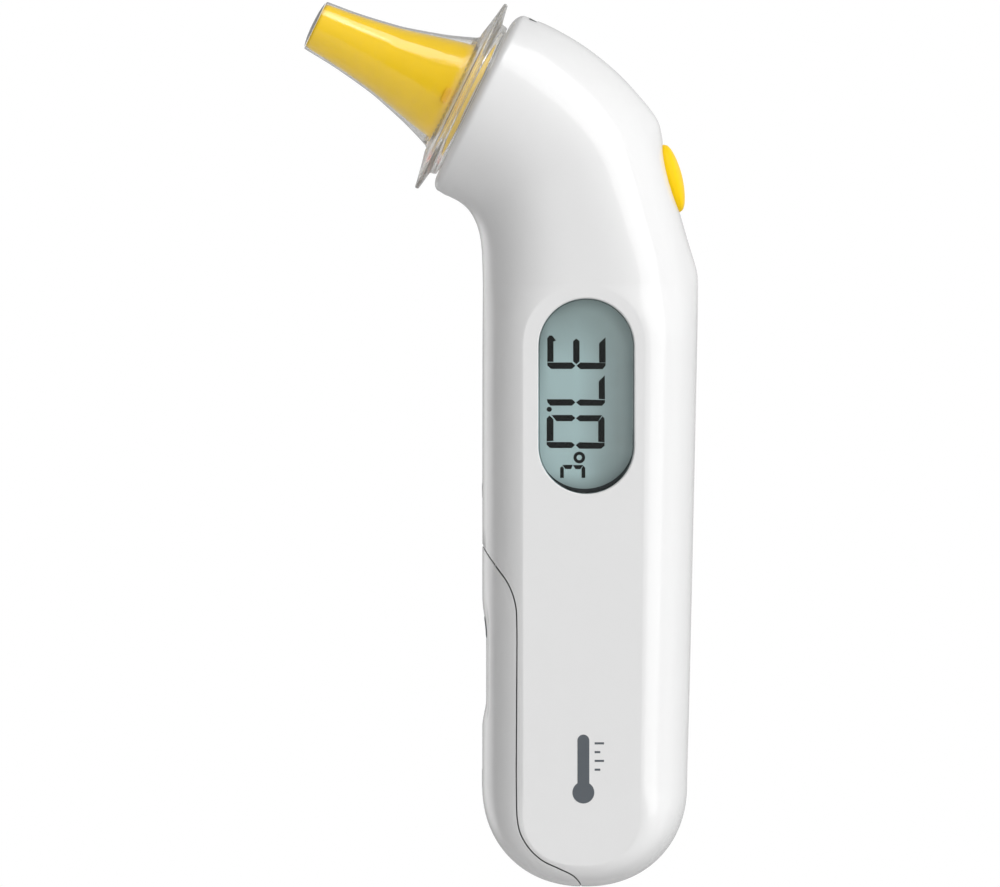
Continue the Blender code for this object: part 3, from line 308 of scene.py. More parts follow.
def clear(name, tint, haze, rough, edge_tint, ior):
    """Thin clear plastic: light goes straight through, edges turn grey, the front reflects."""
    mat = Material(name)
    mat.drop_principled()
    facing = mat.node("ShaderNodeLayerWeight", Blend=0.35).outputs["Facing"]
    edge_share = mat.spread(facing, over=(0.35, 1.0))
    through = mat.node("ShaderNodeBsdfTransparent", Color=mat.mix(edge_share, tint, edge_tint))
    milk = mat.node("ShaderNodeBsdfDiffuse", Color=(0.82, 0.83, 0.82))
    amount = mat.spread(mat.noise(0.5), to=(haze * 0.7, haze * 1.3))
    body = mat.mix_shader(amount, through.outputs[0], milk.outputs[0])
    shine = mat.node("ShaderNodeBsdfGlossy", Roughness=rough)
    marks = mat.spread(mat.noise(1.2, detail=4.0), to=(rough * 0.6, rough * 1.8))
    mat.put(marks, shine.inputs["Roughness"])
    ripple = mat.ripple(strength=0.1)
    mat.put(ripple, shine.inputs["Normal"])
    fresnel = mat.node("ShaderNodeFresnel", IOR=ior, Normal=ripple)
    mat.surface(mat.mix_shader(fresnel.outputs[0], body, shine.outputs[0]))
    return mat


def refracting(name, tint, haze, rough, flange_haze):
    """Clear moulding that bends what is behind it; lamps shine straight through its wall."""
    mat = Material(name)
    mat.drop_principled()
    shade = tuple(channel * 0.985 for channel in tint)
    glass = mat.node(
        "ShaderNodeBsdfGlass",
        IOR=1.47,
        Color=mat.mix(mat.spread(mat.noise(0.3, detail=2.0)), shade, tint),
        Roughness=mat.spread(mat.noise(1.0, detail=4.0), to=(rough * 0.5, rough * 1.6)),
        Normal=mat.ripple(strength=0.25),
    )
    milk = mat.node("ShaderNodeBsdfDiffuse", Color=(0.86, 0.86, 0.85))
    amount = mat.spread(mat.noise(0.5), to=(haze * 0.6, haze * 1.4))
    # The flange, low on the probe axis, is hazier
    along = mat.dot(mat.place, (PROBE_AXIS[0], 0.0, PROBE_AXIS[1]))
    origin = PROBE_X * PROBE_AXIS[0] + PROBE_Z * PROBE_AXIS[1]
    more = mat.spread(along, to=(flange_haze, 0.0), over=(origin + 0.9, origin + 2.4))
    amount = mat.math("ADD", amount, more)
    body = mat.mix_shader(amount, glass.outputs[0], milk.outputs[0])
    pale = tuple(channel ** 0.5 for channel in tint)
    straight = mat.node("ShaderNodeBsdfTransparent", Color=pale)
    rays = mat.node("ShaderNodeLightPath").outputs
    lamp = mat.math("MAXIMUM", rays["Is Shadow Ray"], rays["Is Diffuse Ray"])
    mat.surface(mat.mix_shader(lamp, body, straight.outputs[0]))
    return mat


def board_material():
    """Solder mask with traces showing as slightly raised, lighter lines."""
    mat = Material("circuit_board")
    mask = mat.noise(0.5, detail=2.0)
    grid = mat.node("ShaderNodeTexBrick", Vector=mat.place, Scale=0.55, Mortar_Size=0.03)
    traces = grid.outputs["Fac"]
    ground = mat.mix(mask, (0.008, 0.09, 0.03), (0.015, 0.15, 0.05))
    mat.set(Base_Color=mat.mix(traces, ground, (0.03, 0.22, 0.09)), Roughness=0.32)
    mat.bump(
        Layer(traces, strength=0.3, depth=0.03), Layer(mat.noise(6.0), strength=0.2, depth=0.01)
    )
    return mat


def lcd_material():
    """Teal grey polariser with painted light and shade: lighter towards the left, painted shade at
    its ends and corners, and a painted glow.
    """
    mat = Material("lcd_polariser")
    # Painted light and shade: lighter towards the left, darker towards the right
    across = mat.spread(mat.axis(0), over=(-1.2, 5.2))
    # Painted shade towards the top and bottom ends, the lower right and the upper left rim
    top = mat.spread(mat.axis(2), over=(34.0, 44.0))
    painted_bottom_shade = mat.spread(mat.axis(2), to=(1.0, 0.0), over=(12.8, 16.4))
    painted_low_right_shade = mat.math(
        "MULTIPLY",
        mat.spread(mat.axis(0), over=(0.5, 5.5)),
        mat.spread(mat.axis(2), to=(1.0, 0.0), over=(13.5, 20.0)),
    )
    painted_rim_shadow_upper_left = mat.math(
        "MULTIPLY",
        mat.spread(mat.axis(0), to=(0.55, 0.0), over=(-7.4, -5.8)),
        mat.spread(mat.axis(2), over=(27.0, 36.0)),
    )
    clouds = mat.spread(mat.noise(0.25, detail=2.0), to=(0.0, 0.16))
    ground = srgb(176, 197, 199)
    for share, colour in (
        (across, srgb(132, 144, 145)),
        (top, srgb(128, 141, 141)),
        (painted_rim_shadow_upper_left, srgb(108, 124, 124)),
        (painted_bottom_shade, srgb(118, 132, 133)),
        (painted_low_right_shade, srgb(92, 102, 103)),
        (clouds, srgb(156, 176, 179)),
    ):
        ground = mat.mix(share, ground, colour)
    # Painted glow: the panel gives off light of its own colour, lifting it out of the window's shade
    mat.set(Base_Color=ground, Emission_Color=ground, Emission_Strength=0.44)
    mat.set(Roughness=0.34, Coat_Weight=0.2, Coat_Roughness=0.1)
    mat.bump(Layer(mat.noise(4.0, detail=1.0), strength=0.03, depth=0.003))
    return mat


def segment_material():
    """The dark figures of the display."""
    mat = Material("lcd_segment")
    colour = mat.mix(mat.spread(mat.noise(2.0)), srgb(26, 30, 30), srgb(32, 37, 36))
    mat.set(Base_Color=colour, Roughness=0.6, Specular_IOR_Level=0.1)
    mat.bump(Layer(mat.noise(12.0), strength=0.1, depth=0.004))
    return mat


def cell_material():
    """Cell jacket: dark blue below, copper above, with darker stains."""
    mat = Material("cell_jacket")
    copper_share = mat.spread(mat.axis(2), over=(-4.0, -3.8))
    jacket = mat.mix(copper_share, srgb(24, 34, 62), srgb(176, 98, 46))
    jacket = mat.mix(mat.spread(mat.noise(0.6), to=(0.0, 0.3)), jacket, srgb(12, 16, 26))
    rough = mat.spread(mat.noise(1.5), to=(0.24, 0.36))
    mat.set(Base_Color=jacket, Metallic=0.55, Roughness=rough)
    mat.set(Coat_Weight=0.4, Coat_Roughness=0.1)
    mat.bump(Layer(mat.noise(8.0), strength=0.1, depth=0.005), edge=0.15)
    return mat


# ---------------------------------------------------------------- the materials
WHITE_GLOSS = dict(
    base=(0.80, 0.80, 0.80), roughness=0.4, tint=0.006, grain=0.012, coat=1.0, gloss=0.1,
    uneven=0.25,
)
white = plastic("white_gloss_plastic", **WHITE_GLOSS)
door_white = plastic("white_gloss_plastic_door", **WHITE_GLOSS)
cone_yellow = plastic(
    "cone_yellow_plastic", srgb(255, 210, 0), roughness=0.3, grain=0.03, coat=0.8, gloss=0.06,
    uneven=0.4, ior=1.2, edge=0.1,
)
# Painted glow: the cone gives off a little light of its own to brighten it
cone_yellow.set(Emission_Color=(1.0, 0.68, 0.0), Emission_Strength=0.07)
nub_yellow = plastic(
    "nub_yellow_plastic", srgb(255, 196, 0), roughness=0.3, tint=0.02, grain=0.03, coat=0.6,
    uneven=0.4, edge=0.1,
)
button_yellow = plastic(
    "button_yellow_elastomer", srgb(246, 203, 0), roughness=0.42, grain=0.1, uneven=0.5,
    ior=1.25, edge=0.1,
)
orange = plastic("detector_orange", srgb(240, 70, 28), roughness=0.35, edge=0.06)
# Painted glow, bright, so that some of it shows through the filter
orange.set(Emission_Color=(1.0, 0.16, 0.05), Emission_Strength=0.4)
black = plastic("black_moulding", (0.025, 0.025, 0.027), roughness=0.42, tint=0.3, grain=0.4)
grey = plastic("grey_moulding", (0.3, 0.31, 0.32), roughness=0.45, tint=0.08, grain=0.4)
rubber = plastic("dark_rubber", (0.03, 0.03, 0.032), roughness=0.68, tint=0.3, grain=0.6)
steel = metal("plated_steel", (0.68, 0.68, 0.69), roughness=0.26)
gold = metal("gold_plate", (0.9, 0.66, 0.28), roughness=0.18)
zinc = metal("zinc_casting", (0.55, 0.56, 0.58), roughness=0.42, brushed=0.3)
flex = plastic("amber_flex", (0.5, 0.2, 0.03), roughness=0.3, tint=0.2, grain=0.1)
wire_red = plastic("wire_red", (0.55, 0.02, 0.02), roughness=0.4, tint=0.15)
wire_black = plastic("wire_black", (0.02, 0.02, 0.02), roughness=0.4, tint=0.3)
filter_clear = refracting(
    "clear_polypropylene", (0.985, 0.985, 0.982), haze=0.006, rough=0.025, flange_haze=0.1
)
MATT = dict(roughness=0.5, edge=0.0)
# Painted shade: the grey of the seam's fillings and of the crown slot's bed
seam_painted_shade = plastic("seam_painted_shade", srgb(112, 113, 114), tint=0.06, grain=0.2, **MATT)
# Painted shade: the grey of the ledge seen down the seam
seam_ledge_painted_shade = plastic("seam_ledge_painted_shade", srgb(176, 177, 178), tint=0.06, grain=0.2, **MATT)
film_clear = clear(
    "clear_film", (0.97, 0.97, 0.965), haze=0.02, rough=0.04, edge_tint=(0.55, 0.57, 0.56),
    ior=1.49,
)
window_clear = clear(
    "clear_window", (0.97, 0.985, 0.98), haze=0.0, rough=0.03, edge_tint=(0.5, 0.55, 0.55),
    ior=1.42,
)
board = board_material()
lcd = lcd_material()
segment = segment_material()
# Painted shadow for the window's lower edge
shadow_grey = plastic("painted_step_shadow_grey", srgb(52, 62, 66), tint=0.1, grain=0.1, **MATT)
# Grey for the sign printed on the pad, and painted shade on the door's grip rib
print_and_painted_shade_grey = plastic("print_and_painted_shade_grey", srgb(92, 98, 104), tint=0.06, grain=0.1, **MATT)
cell = cell_material()


# ---------------------------------------------------------------- mesh tools
def mesh_object(name, points, faces):
    mesh = bpy.data.meshes.new(name)
    mesh.from_pydata([Vector(point) * MM for point in points], [], list(faces))
    work = bmesh.new()
    work.from_mesh(mesh)
    bmesh.ops.remove_doubles(work, verts=work.verts, dist=1e-7)
    bmesh.ops.recalc_face_normals(work, faces=work.faces)
    work.to_mesh(mesh)
    work.free()
    obj = bpy.data.objects.new(name, mesh)
    bpy.context.scene.collection.objects.link(obj)
    return obj


def revolve(name, profile, matrix, steps=128, closed=False):
    """A profile of (r, z) turned about z; closed joins its end to its start."""
    points, rings = [], []
    turns = [2 * math.pi * i / steps for i in range(steps)]
    for r, z in profile:
        if r < 1e-6:
            rings.append([len(points)] * steps)
            points.append((0.0, 0.0, z))
        else:
            rings.append(range(len(points), len(points) + steps))
            points.extend((r * math.cos(turn), r * math.sin(turn), z) for turn in turns)
    pairs = list(zip(rings, rings[1:])) + ([(rings[-1], rings[0])] if closed else [])
    faces = []
    for low, high in pairs:
        for i in range(steps):
            k = (i + 1) % steps
            face = list(dict.fromkeys((low[i], low[k], high[k], high[i])))
            if len(face) > 2:
                faces.append(face)
    return mesh_object(name, [matrix @ Vector(point) for point in points], faces)


def band(lower, upper):
    """Quads between two closed loops of indices."""
    count = len(lower)
    return [
        (lower[i], lower[(i + 1) % count], upper[(i + 1) % count], upper[i])
        for i in range(count)
    ]


def prism(name, loops, y0, y1, matrix=Matrix()):
    """Flat outlines in x and z, each extruded along y."""
    points, faces = [], []
    for loop in loops:
        near = list(range(len(points), len(points) + len(loop)))
        far = [i + len(loop) for i in near]
        points += [(x, y0, z) for x, z in loop] + [(x, y1, z) for x, z in loop]
        faces += [near, far[::-1]] + band(near, far)
    return mesh_object(name, [matrix @ Vector(point) for point in points], faces)


def rod(name, r, z0, z1, matrix, steps=64):
    return revolve(name, [(0.0, z1), (r, z1), (r, z0), (0.0, z0)], matrix, steps)


def rectangle(x0, z0, x1, z1):
    return [(x0, z0), (x1, z0), (x1, z1), (x0, z1)]


def pill(radius, half, steps=40, x=WINDOW_X, z=WINDOW_Z):
    """Outline of an upright slot with round ends; half is half its height."""
    loop = []
    for up in (1, -1):
        for i in range(steps + 1):
            angle = math.pi * i / steps + (0 if up > 0 else math.pi)
            end_z = z + up * (half - radius)
            loop.append((x + radius * math.cos(angle), end_z + radius * math.sin(angle)))
    return loop


def apply_modifier(obj, modifier):
    bpy.context.view_layer.objects.active = obj
    with bpy.context.temp_override(object=obj, active_object=obj):
        bpy.ops.object.modifier_apply(modifier=modifier.name)


def boolean(obj, other, operation="DIFFERENCE"):
    modifier = obj.modifiers.new("cut", "BOOLEAN")
    modifier.operation = operation
    modifier.solver = "EXACT"
    modifier.object = other
    apply_modifier(obj, modifier)
    bpy.data.objects.remove(other)
    return obj


def bevel(obj, width, segments=3, angle=30.0):
    modifier = obj.modifiers.new("edges", "BEVEL")
    modifier.width = width * MM
    modifier.segments = segments
    modifier.limit_method = "ANGLE"
    modifier.angle_limit = math.radians(angle)
    apply_modifier(obj, modifier)
    return obj


def paint(obj, mat, smooth):
    """Gives a piece its material; smooth is the sharp-edge angle, or 0 for flat shading."""
    obj.data.materials.clear()
    obj.data.materials.append(mat.data)
    if smooth:
        obj.data.shade_smooth()
        obj.data.set_sharp_from_angle(angle=math.radians(smooth))


def dress(obj, mat, body, slot, *stands_for, smooth=32.0, flat_pads=False):
    """Paints a piece, makes it ride on its body and hides the CAD pieces it stands for."""
    paint(obj, mat, smooth)
    if flat_pads:
        for face in obj.data.polygons:
            if abs(face.normal.y) > 0.99999:
                face.use_smooth = False
    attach(obj, body)
    if stands_for:
        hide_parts(*stands_for)


# ---------------------------------------------------------------- curves and places
def lerp(start, end, share):
    return start + (end - start) * share


def smoothstep(share):
    share = min(max(share, 0.0), 1.0)
    return share * share * (3 - 2 * share)


def spline_at(rows, at):
    """Catmull-Rom spline through the rows; at counts rows."""
    i = min(int(at), len(rows) - 2)
    f = at - i
    here, after = rows[i], rows[i + 1]
    before = rows[i - 1] if i > 0 else [2 * a - b for a, b in zip(here, after)]
    beyond = rows[i + 2] if i + 2 < len(rows) else [2 * b - a for a, b in zip(here, after)]
    return [
        0.5 * (
            2 * b + (c - a) * f + (2 * a - 5 * b + 4 * c - d) * f * f
            + (3 * b - a - 3 * c + d) * f ** 3
        )
        for a, b, c, d in zip(before, here, after, beyond)
    ]


def curve_through(knots, steps):
    return [spline_at(knots, (len(knots) - 1) * i / steps) for i in range(steps + 1)]


def on_probe(along, across):
    """x, z of a point given in the probe's own directions."""
    return (
        PROBE_X + PROBE_AXIS[0] * along + PROBE_UP[0] * across,
        PROBE_Z + PROBE_AXIS[1] * along + PROBE_UP[1] * across,
    )


def turned(x, z, degrees):
    """A frame on the middle plane, turned about y."""
    return Matrix.Translation((x, MID_Y, z)) @ Matrix.Rotation(math.radians(degrees), 4, "Y")


def along_y(x, y, z):
    """A frame whose z axis points to the back."""
    return Matrix.Translation((x, y, z)) @ Matrix.Rotation(math.radians(-90.0), 4, "X")


# Local z points out of the body along the probe, the pin and the button
PROBE = turned(PROBE_X, PROBE_Z, PROBE_TILT - 90.0)
PIN = turned(*on_probe(0, -PIN_OFFSET), PROBE_TILT - 90.0)
BUTTON = turned(BUTTON_X, BUTTON_Z, 90.0 - BUTTON_TILT) @ Matrix.Diagonal(
    (1.0, BUTTON_OVAL, 1.0, 1.0)
)
CROWN_SLOT = turned(-8.35, 88.62, 27.0)

# ---------------------------------------------------------------- the body's form
NOSE_ENDS = (*on_probe(NOSE_AX, NOSE_OFF - NOSE_R), *on_probe(NOSE_AX, NOSE_OFF + NOSE_R))
HEAD_ROWS = HEAD + [NOSE_ENDS]
PAD_CENTRE_SHARE = (PAD_X - HEAD[0][0]) / (HEAD[0][2] - HEAD[0][0])


def handle_at(z):
    """Left and right x of the handle's outline."""
    for (z0, left0, right0), (z1, left1, right1) in zip(HANDLE, HANDLE[1:]):
        if z <= z1:
            share = (z - z0) / (z1 - z0)
            return lerp(left0, left1, share), lerp(right0, right1, share)
    top_z, left, right = HANDLE[-1]
    share = (z - top_z) / (HEAD[0][1] - top_z)
    return (
        lerp(left, HEAD[0][0], smoothstep(share)),
        lerp(right, HEAD[0][2], math.sin(share * math.pi / 2)),
    )


def foot_outline(angle):
    c, s = math.cos(angle), math.sin(angle)
    r = (abs(c) ** FOOT_POWER + abs(s) ** FOOT_POWER) ** (-1 / FOOT_POWER) * FOOT_R
    return FOOT_X + r * c, FOOT_Z + r * s


def pad_right(z):
    return lerp(PAD_RIGHT_LOW, PAD_RIGHT_TOP, (z - PAD_END_Z) / (PAD_TOP_Z - PAD_END_Z))


def in_pad(x, z):
    if z >= PAD_END_Z:
        return PAD_LEFT < x < pad_right(z)
    half = (PAD_RIGHT_LOW - PAD_LEFT) / 2
    middle = (PAD_RIGHT_LOW + PAD_LEFT) / 2
    across = abs(x - middle) / half
    down = abs(z - PAD_END_Z) / PAD_END_B
    return across ** PAD_END_POWER + down ** PAD_END_POWER < 1


def pad_on_ray(angle):
    """Where a ray from the foot's centre leaves the pad, found by halving."""
    low, high = 1.0, FOOT_R
    for _ in range(40):
        r = (low + high) / 2
        if in_pad(FOOT_X + r * math.cos(angle), FOOT_Z + r * math.sin(angle)):
            low = r
        else:
            high = r
    return FOOT_X + low * math.cos(angle), FOOT_Z + low * math.sin(angle)


class Row:
    """One line across the body's face, from its middle past the pad's edge to the outline.

    head counts the row along the head (None elsewhere); ease is the outline's softening shift.
    """

    def __init__(self, middle, inner, outer, depth, power, head=None, ease=(0.0, 0.0)):
        self.middle, self.inner, self.outer = middle, inner, outer
        self.depth, self.power, self.head, self.ease = depth, power, head, ease


def eased(rows, reach=5.0):
    """Stores on each row how far the outline would move with its corners rounded over reach."""
    near = [row for row in rows if row.outer[1] > 20.0]
    at = [0.0]
    for row, following in zip(near, near[1:]):
        at.append(at[-1] + math.dist(following.outer, row.outer))
    last = len(at) - 1
    step = [(at[min(i + 1, last)] - at[max(i - 1, 0)]) / 2 for i in range(len(at))]
    for i, row in enumerate(near):
        held = smoothstep((min(at[i], at[-1] - at[i]) - 1.0) / 14.0)
        weights = [w * math.exp(-(((s - at[i]) / reach) ** 2) / 2) for s, w in zip(at, step)]
        total = sum(weights)
        row.ease = tuple(
            (sum(w * r.outer[k] for w, r in zip(weights, near)) / total - row.outer[k]) * held
            for k in (0, 1)
        )
    return rows


ARCH_STEPS = 26  # rows over the pad's round top


def body_rows(head_steps, handle_z, foot_steps):
    """Rows from the nose down the left side, round the foot and up the right side."""
    left, right = [], []
    last = len(HEAD_ROWS) - 1
    for i in range(head_steps, -1, -1):
        at = last * i / head_steps
        left_x, left_z, right_x, right_z = spline_at(HEAD_ROWS, at)
        blend = smoothstep(at / last)
        share = lerp(PAD_CENTRE_SHARE, 0.5, blend)
        middle = (lerp(left_x, right_x, share), lerp(left_z, right_z, share))
        depth = lerp(HALF_DEPTH, NOSE_R, blend)
        power = lerp(SQUARE_NECK, SQUARE_NOSE, blend)
        left.append(Row(middle, middle, (left_x, left_z), depth, power, i))
        right.append(Row(middle, middle, (right_x, right_z), depth, power, i))
    levels = []  # z, pad's left x, pad's right x, power
    for i in range(2, ARCH_STEPS + 1):
        angle = math.pi / 2 * (1 - i / ARCH_STEPS)
        half = PAD_TOP_R * math.cos(angle)
        power = lerp(SQUARE_HANDLE, SQUARE_NECK, smoothstep(math.sin(angle)))
        z = PAD_TOP_Z + PAD_TOP_R * math.sin(angle)
        levels.append((z, PAD_X - half, PAD_X + half, power))
    levels += [(z, PAD_LEFT, pad_right(z), SQUARE_HANDLE) for z in handle_z]
    for z, pad_left_x, pad_right_x, power in levels:
        left_x, right_x = handle_at(z)
        left.append(Row((PAD_X, z), (pad_left_x, z), (left_x, z), HALF_DEPTH, power))
        right.append(Row((PAD_X, z), (pad_right_x, z), (right_x, z), HALF_DEPTH, power))
    foot = []
    for i in range(foot_steps + 1):
        angle = math.pi * (1 + i / foot_steps)
        power = lerp(SQUARE_HANDLE, SQUARE_FOOT, smoothstep(abs(math.sin(angle))))
        edges = pad_on_ray(angle), foot_outline(angle)
        foot.append(Row((FOOT_X, FOOT_Z), *edges, HALF_DEPTH, power))
    return left + foot + eased(right)[::-1]


def inset_rows(rows, wall):
    """The rows with their outline and depth drawn in by a wall thickness."""
    result = []
    for i, row in enumerate(rows):
        before = rows[max(i - 1, 0)].outer
        after = rows[min(i + 1, len(rows) - 1)].outer
        run_x, run_z = after[0] - before[0], after[1] - before[1]
        length = math.hypot(run_x, run_z)
        in_x, in_z = -run_z / length, run_x / length
        x, z = row.outer
        if in_x * (row.middle[0] - x) + in_z * (row.middle[1] - z) < 0:
            in_x, in_z = -in_x, -in_z
        outer = (x + in_x * wall, z + in_z * wall)
        depth = row.depth - wall
        result.append(Row(row.middle, row.inner, outer, depth, row.power, row.head, row.ease))
    return result


def thumb_recess(x, away, z):
    """How far the battery door's grip hollow pulls the left flank inwards.

    away is the distance from the middle plane.
    """
    if x > -9.0:
        return 0.0
    ends = smoothstep((-3.4 - z) / 6.2) * smoothstep((z + 24.2) / 4.4)
    return 0.62 * ends * smoothstep((8.4 - away) / 2.6)


def flank(row, steps, outer=True):
    """Points from the pad's edge to the outline: x, distance from the middle plane, z."""
    start = math.dist(row.inner, row.middle) / math.dist(row.outer, row.middle)
    crown = row.depth / math.sqrt(1 - start ** row.power)
    crowding = 1 + 0.35 * smoothstep((start - 0.15) / 0.4)
    points = []
    for j in range(steps + 1):
        share = lerp(start, 1.0, math.sin(math.pi / 2 * (j / steps) ** crowding))
        away = crown * math.sqrt(max(1 - share ** row.power, 0.0)) if j < steps else 0.0
        if start > 0.02:
            below = max(row.depth - away, 0.0)
            crease = CREASE * min((start / 0.45) ** 2, 1.0)
            fade = math.exp(-below / (3 * crease))
            away = row.depth - below * (1 - crease / (below + crease) * fade)
        ease = smoothstep(away / (0.5 * row.depth)) * (share - start) / (1 - start)
        x = lerp(row.middle[0], row.outer[0], share) + row.ease[0] * ease
        z = lerp(row.middle[1], row.outer[1], share) + row.ease[1] * ease
        if outer:
            x += thumb_recess(x, away, z)
        points.append((x, away, z))
    return points


# ---------------------------------------------------------------- hollow shell
HEAD_STEPS, FOOT_STEPS, FLANK_STEPS = 84, 84, 34
HEAD_CUT = 3  # rows of the outer sheet beyond the inner one's end
SHELL_Z = (
    [35.0, 31.0, 26.0, 20.0, 14.0, 8.0, 3.0, -1.0]
    + [-3.0 - 0.75 * i for i in range(31)]
    + [-27.5, -30.5]
)
# The probe's spigot and hole, from the nose face inwards: along the axis, radius, offset up
MOUTH = [
    (NOSE_FACE_AX, SPIGOT_R + 0.25, 0.0),
    (NOSE_FACE_AX + 0.08, SPIGOT_R + 0.08, 0.0),
    (SPIGOT_AX - 0.1, SPIGOT_R, 0.0),
    (SPIGOT_AX, SPIGOT_R - 0.1, 0.0),
    (SPIGOT_AX, PROBE_HOLE_R + 0.1, 0.0),
    (SPIGOT_AX - 0.1, PROBE_HOLE_R, 0.0),
    (HOLE_END_AX, PROBE_HOLE_R, 0.0),
    (HOLE_END_AX, 12.6, 0.1),
    (-4.6, 13.7, 0.35),
]


class ShellMesh:
    """Points and faces of a hollow shell; side is -1 for the front and 1 for the back."""

    def __init__(self, gap):
        self.gap, self.points, self.faces = gap, [], []

    def point(self, x, away, z, side):
        self.points.append((x, MID_Y + side * max(away, self.gap), z))
        return len(self.points) - 1

    def strip(self, first, second):
        for j in range(len(first) - 1):
            self.faces.append((first[j], first[j + 1], second[j + 1], second[j]))

    def sheet(self, rows, side, outer):
        """The skin over all rows; head rows share their middle point left and right."""
        grid, shared = [], {}
        for row in rows:
            line = []
            for j, (x, away, z) in enumerate(flank(row, FLANK_STEPS, outer)):
                if j == 0 and row.head is not None and row.head in shared:
                    line.append(shared[row.head])
                    continue
                line.append(self.point(x, away, z, side))
                if j == 0 and row.head is not None:
                    shared[row.head] = line[0]
            grid.append(line)
        for first, second in zip(grid, grid[1:]):
            self.strip(first, second)
        pad = [line[0] for line, row in zip(grid, rows) if row.head is None or row.head == 0]
        self.faces.append(tuple(dict.fromkeys(pad)))
        return grid

    def ring(self, start, side, along, radius, offset):
        """A half circle about the probe, its points at the angles of the starting ones."""
        result = []
        for index in start:
            x, y, z = self.points[index]
            up = (x - PROBE_X) * PROBE_UP[0] + (z - PROBE_Z) * PROBE_UP[1]
            angle = math.atan2(abs(y - MID_Y), up - NOSE_OFF)
            ring_x, ring_z = on_probe(along, offset + radius * math.cos(angle))
            result.append(self.point(ring_x, radius * math.sin(angle), ring_z, side))
        return result

    def half(self, rows, inner_rows, side):
        outer = self.sheet(rows, side, True)
        inner = self.sheet(inner_rows, side, False)
        end = outer[0][::-1] + outer[-1][1:]
        rings = [end]
        # Fillet from the nose's flank to its flat face
        for i in range(1, 11):
            s, c = math.sin(math.radians(9 * i)), math.cos(math.radians(9 * i))
            along = NOSE_AX + (NOSE_FACE_AX - NOSE_AX) * s
            radius = NOSE_FLAT_R + (NOSE_R - NOSE_FLAT_R) * c
            rings.append(self.ring(end, side, along, radius, lerp(NOSE_OFF, NOSE_FACE_OFF, s)))
        rings += [self.ring(end, side, *station) for station in MOUTH]
        rings.append(inner[0][::-1] + inner[-1][1:])
        for first, second in zip(rings, rings[1:]):
            self.strip(first, second)
        if self.gap:
            self.close_rim(outer, inner, rings)

    def close_rim(self, outer, inner, rings):
        """Joins outer and inner skins along the middle plane."""
        for k in range(len(inner) - 1):
            a, b = outer[HEAD_CUT + k][-1], outer[HEAD_CUT + k + 1][-1]
            self.faces.append((a, b, inner[k + 1][-1], inner[k][-1]))
        for end, row_at in ((0, lambda i: i), (-1, lambda i: -1 - i)):
            rim = [outer[row_at(i)][-1] for i in range(HEAD_CUT, -1, -1)]
            mouth = [ring[end] for ring in rings[1:-1]]
            self.faces.append(tuple(rim + mouth + [inner[end][-1]]))


def shell(name, sides, gap):
    """The hollow body on the given sides of the middle plane."""
    rows = body_rows(HEAD_STEPS, SHELL_Z, FOOT_STEPS)
    inner_rows = [
        row for row in inset_rows(rows, WALL)
        if row.head is None or row.head <= HEAD_STEPS - HEAD_CUT
    ]
    skin = ShellMesh(gap)
    for side in sides:
        skin.half(rows, inner_rows, side)
    return mesh_object(name, skin.points, skin.faces)


def seam_points(offset, per=8):
    """The seam shifted sideways by offset, with per points to each station."""
    line = curve_through(SEAM, (len(SEAM) - 1) * per)
    result = []
    for i, (x, z) in enumerate(line):
        before_x, before_z = line[max(i - 1, 0)]
        after_x, after_z = line[min(i + 1, len(line) - 1)]
        run_x, run_z = after_x - before_x, after_z - before_z
        length = math.hypot(run_x, run_z)
        result.append((x - run_z / length * offset, z + run_x / length * offset))
    return result


THROUGH_Y = (-45.0, 15.0)  # a cutter's reach right through the body


def door_prism(name, offset):
    line = seam_points(offset)
    corners = [(line[-1][0], -60.0), (-34.0, -60.0), (-34.0, line[0][1])]
    return prism(name, [line + corners], *THROUGH_Y)


# ---------------------------------------------------------------- half shells
# Screw features: name, operation, radius, start and end from the middle plane, steps
SCREW_FEATURES = {
    "front": [
        ("post", "UNION", 2.6, -13.4, -0.5, 32),
        ("pilot", "DIFFERENCE", 1.2, -11.0, 2.0, 24),
    ],
    "rear": [
        ("tube", "UNION", 3.6, 0.5, 13.4, 40),
        ("well", "DIFFERENCE", 2.5, 6.0, 17.0, 64),
        ("through", "DIFFERENCE", 1.3, -1.0, 8.0, 32),
    ],
}
# Display opening with a fine chamfer at its mouth: growth, y
WINDOW_RINGS = [(0.3, -32.0), (0.3, -30.12), (0.0, -29.82), (0.0, -26.0)]


def display_cutter():
    points, loops = [], []
    for grow, y in WINDOW_RINGS:
        loop = pill(WINDOW_R + grow, WINDOW_HALF + grow)
        loops.append(list(range(len(points), len(points) + len(loop))))
        points += [(x, y, z) for x, z in loop]
    faces = [loops[0], loops[-1][::-1]]
    for lower, upper in zip(loops, loops[1:]):
        faces += band(lower, upper)
    return mesh_object("display_cut", points, faces)


def half_shell(label, side):
    half = shell(f"{label}_shell", (side,), SHELL_GAP)
    for x, z in HOUSING_SCREWS:
        for name, operation, radius, start, end, steps in SCREW_FEATURES[label]:
            feature = rod(name, radius, start, end, along_y(x, MID_Y, z), steps)
            boolean(half, feature, operation)
    boolean(half, door_prism("door_cut", SEAM_SHOWN / 2))
    boolean(half, rod("button_hole", BUTTON_HOLE_R, -6.0, 5.0, BUTTON, steps=96))
    boolean(half, rod("pin_hole", PIN_R + 0.2, -6.0, 1.0, PIN, steps=32))
    slot = prism("crown_slot", [rectangle(-0.7, -0.35, 0.7, 1.0)], -3.0, 3.0, CROWN_SLOT)
    boolean(half, slot)
    if side < 0:
        boolean(half, display_cutter())
    return half


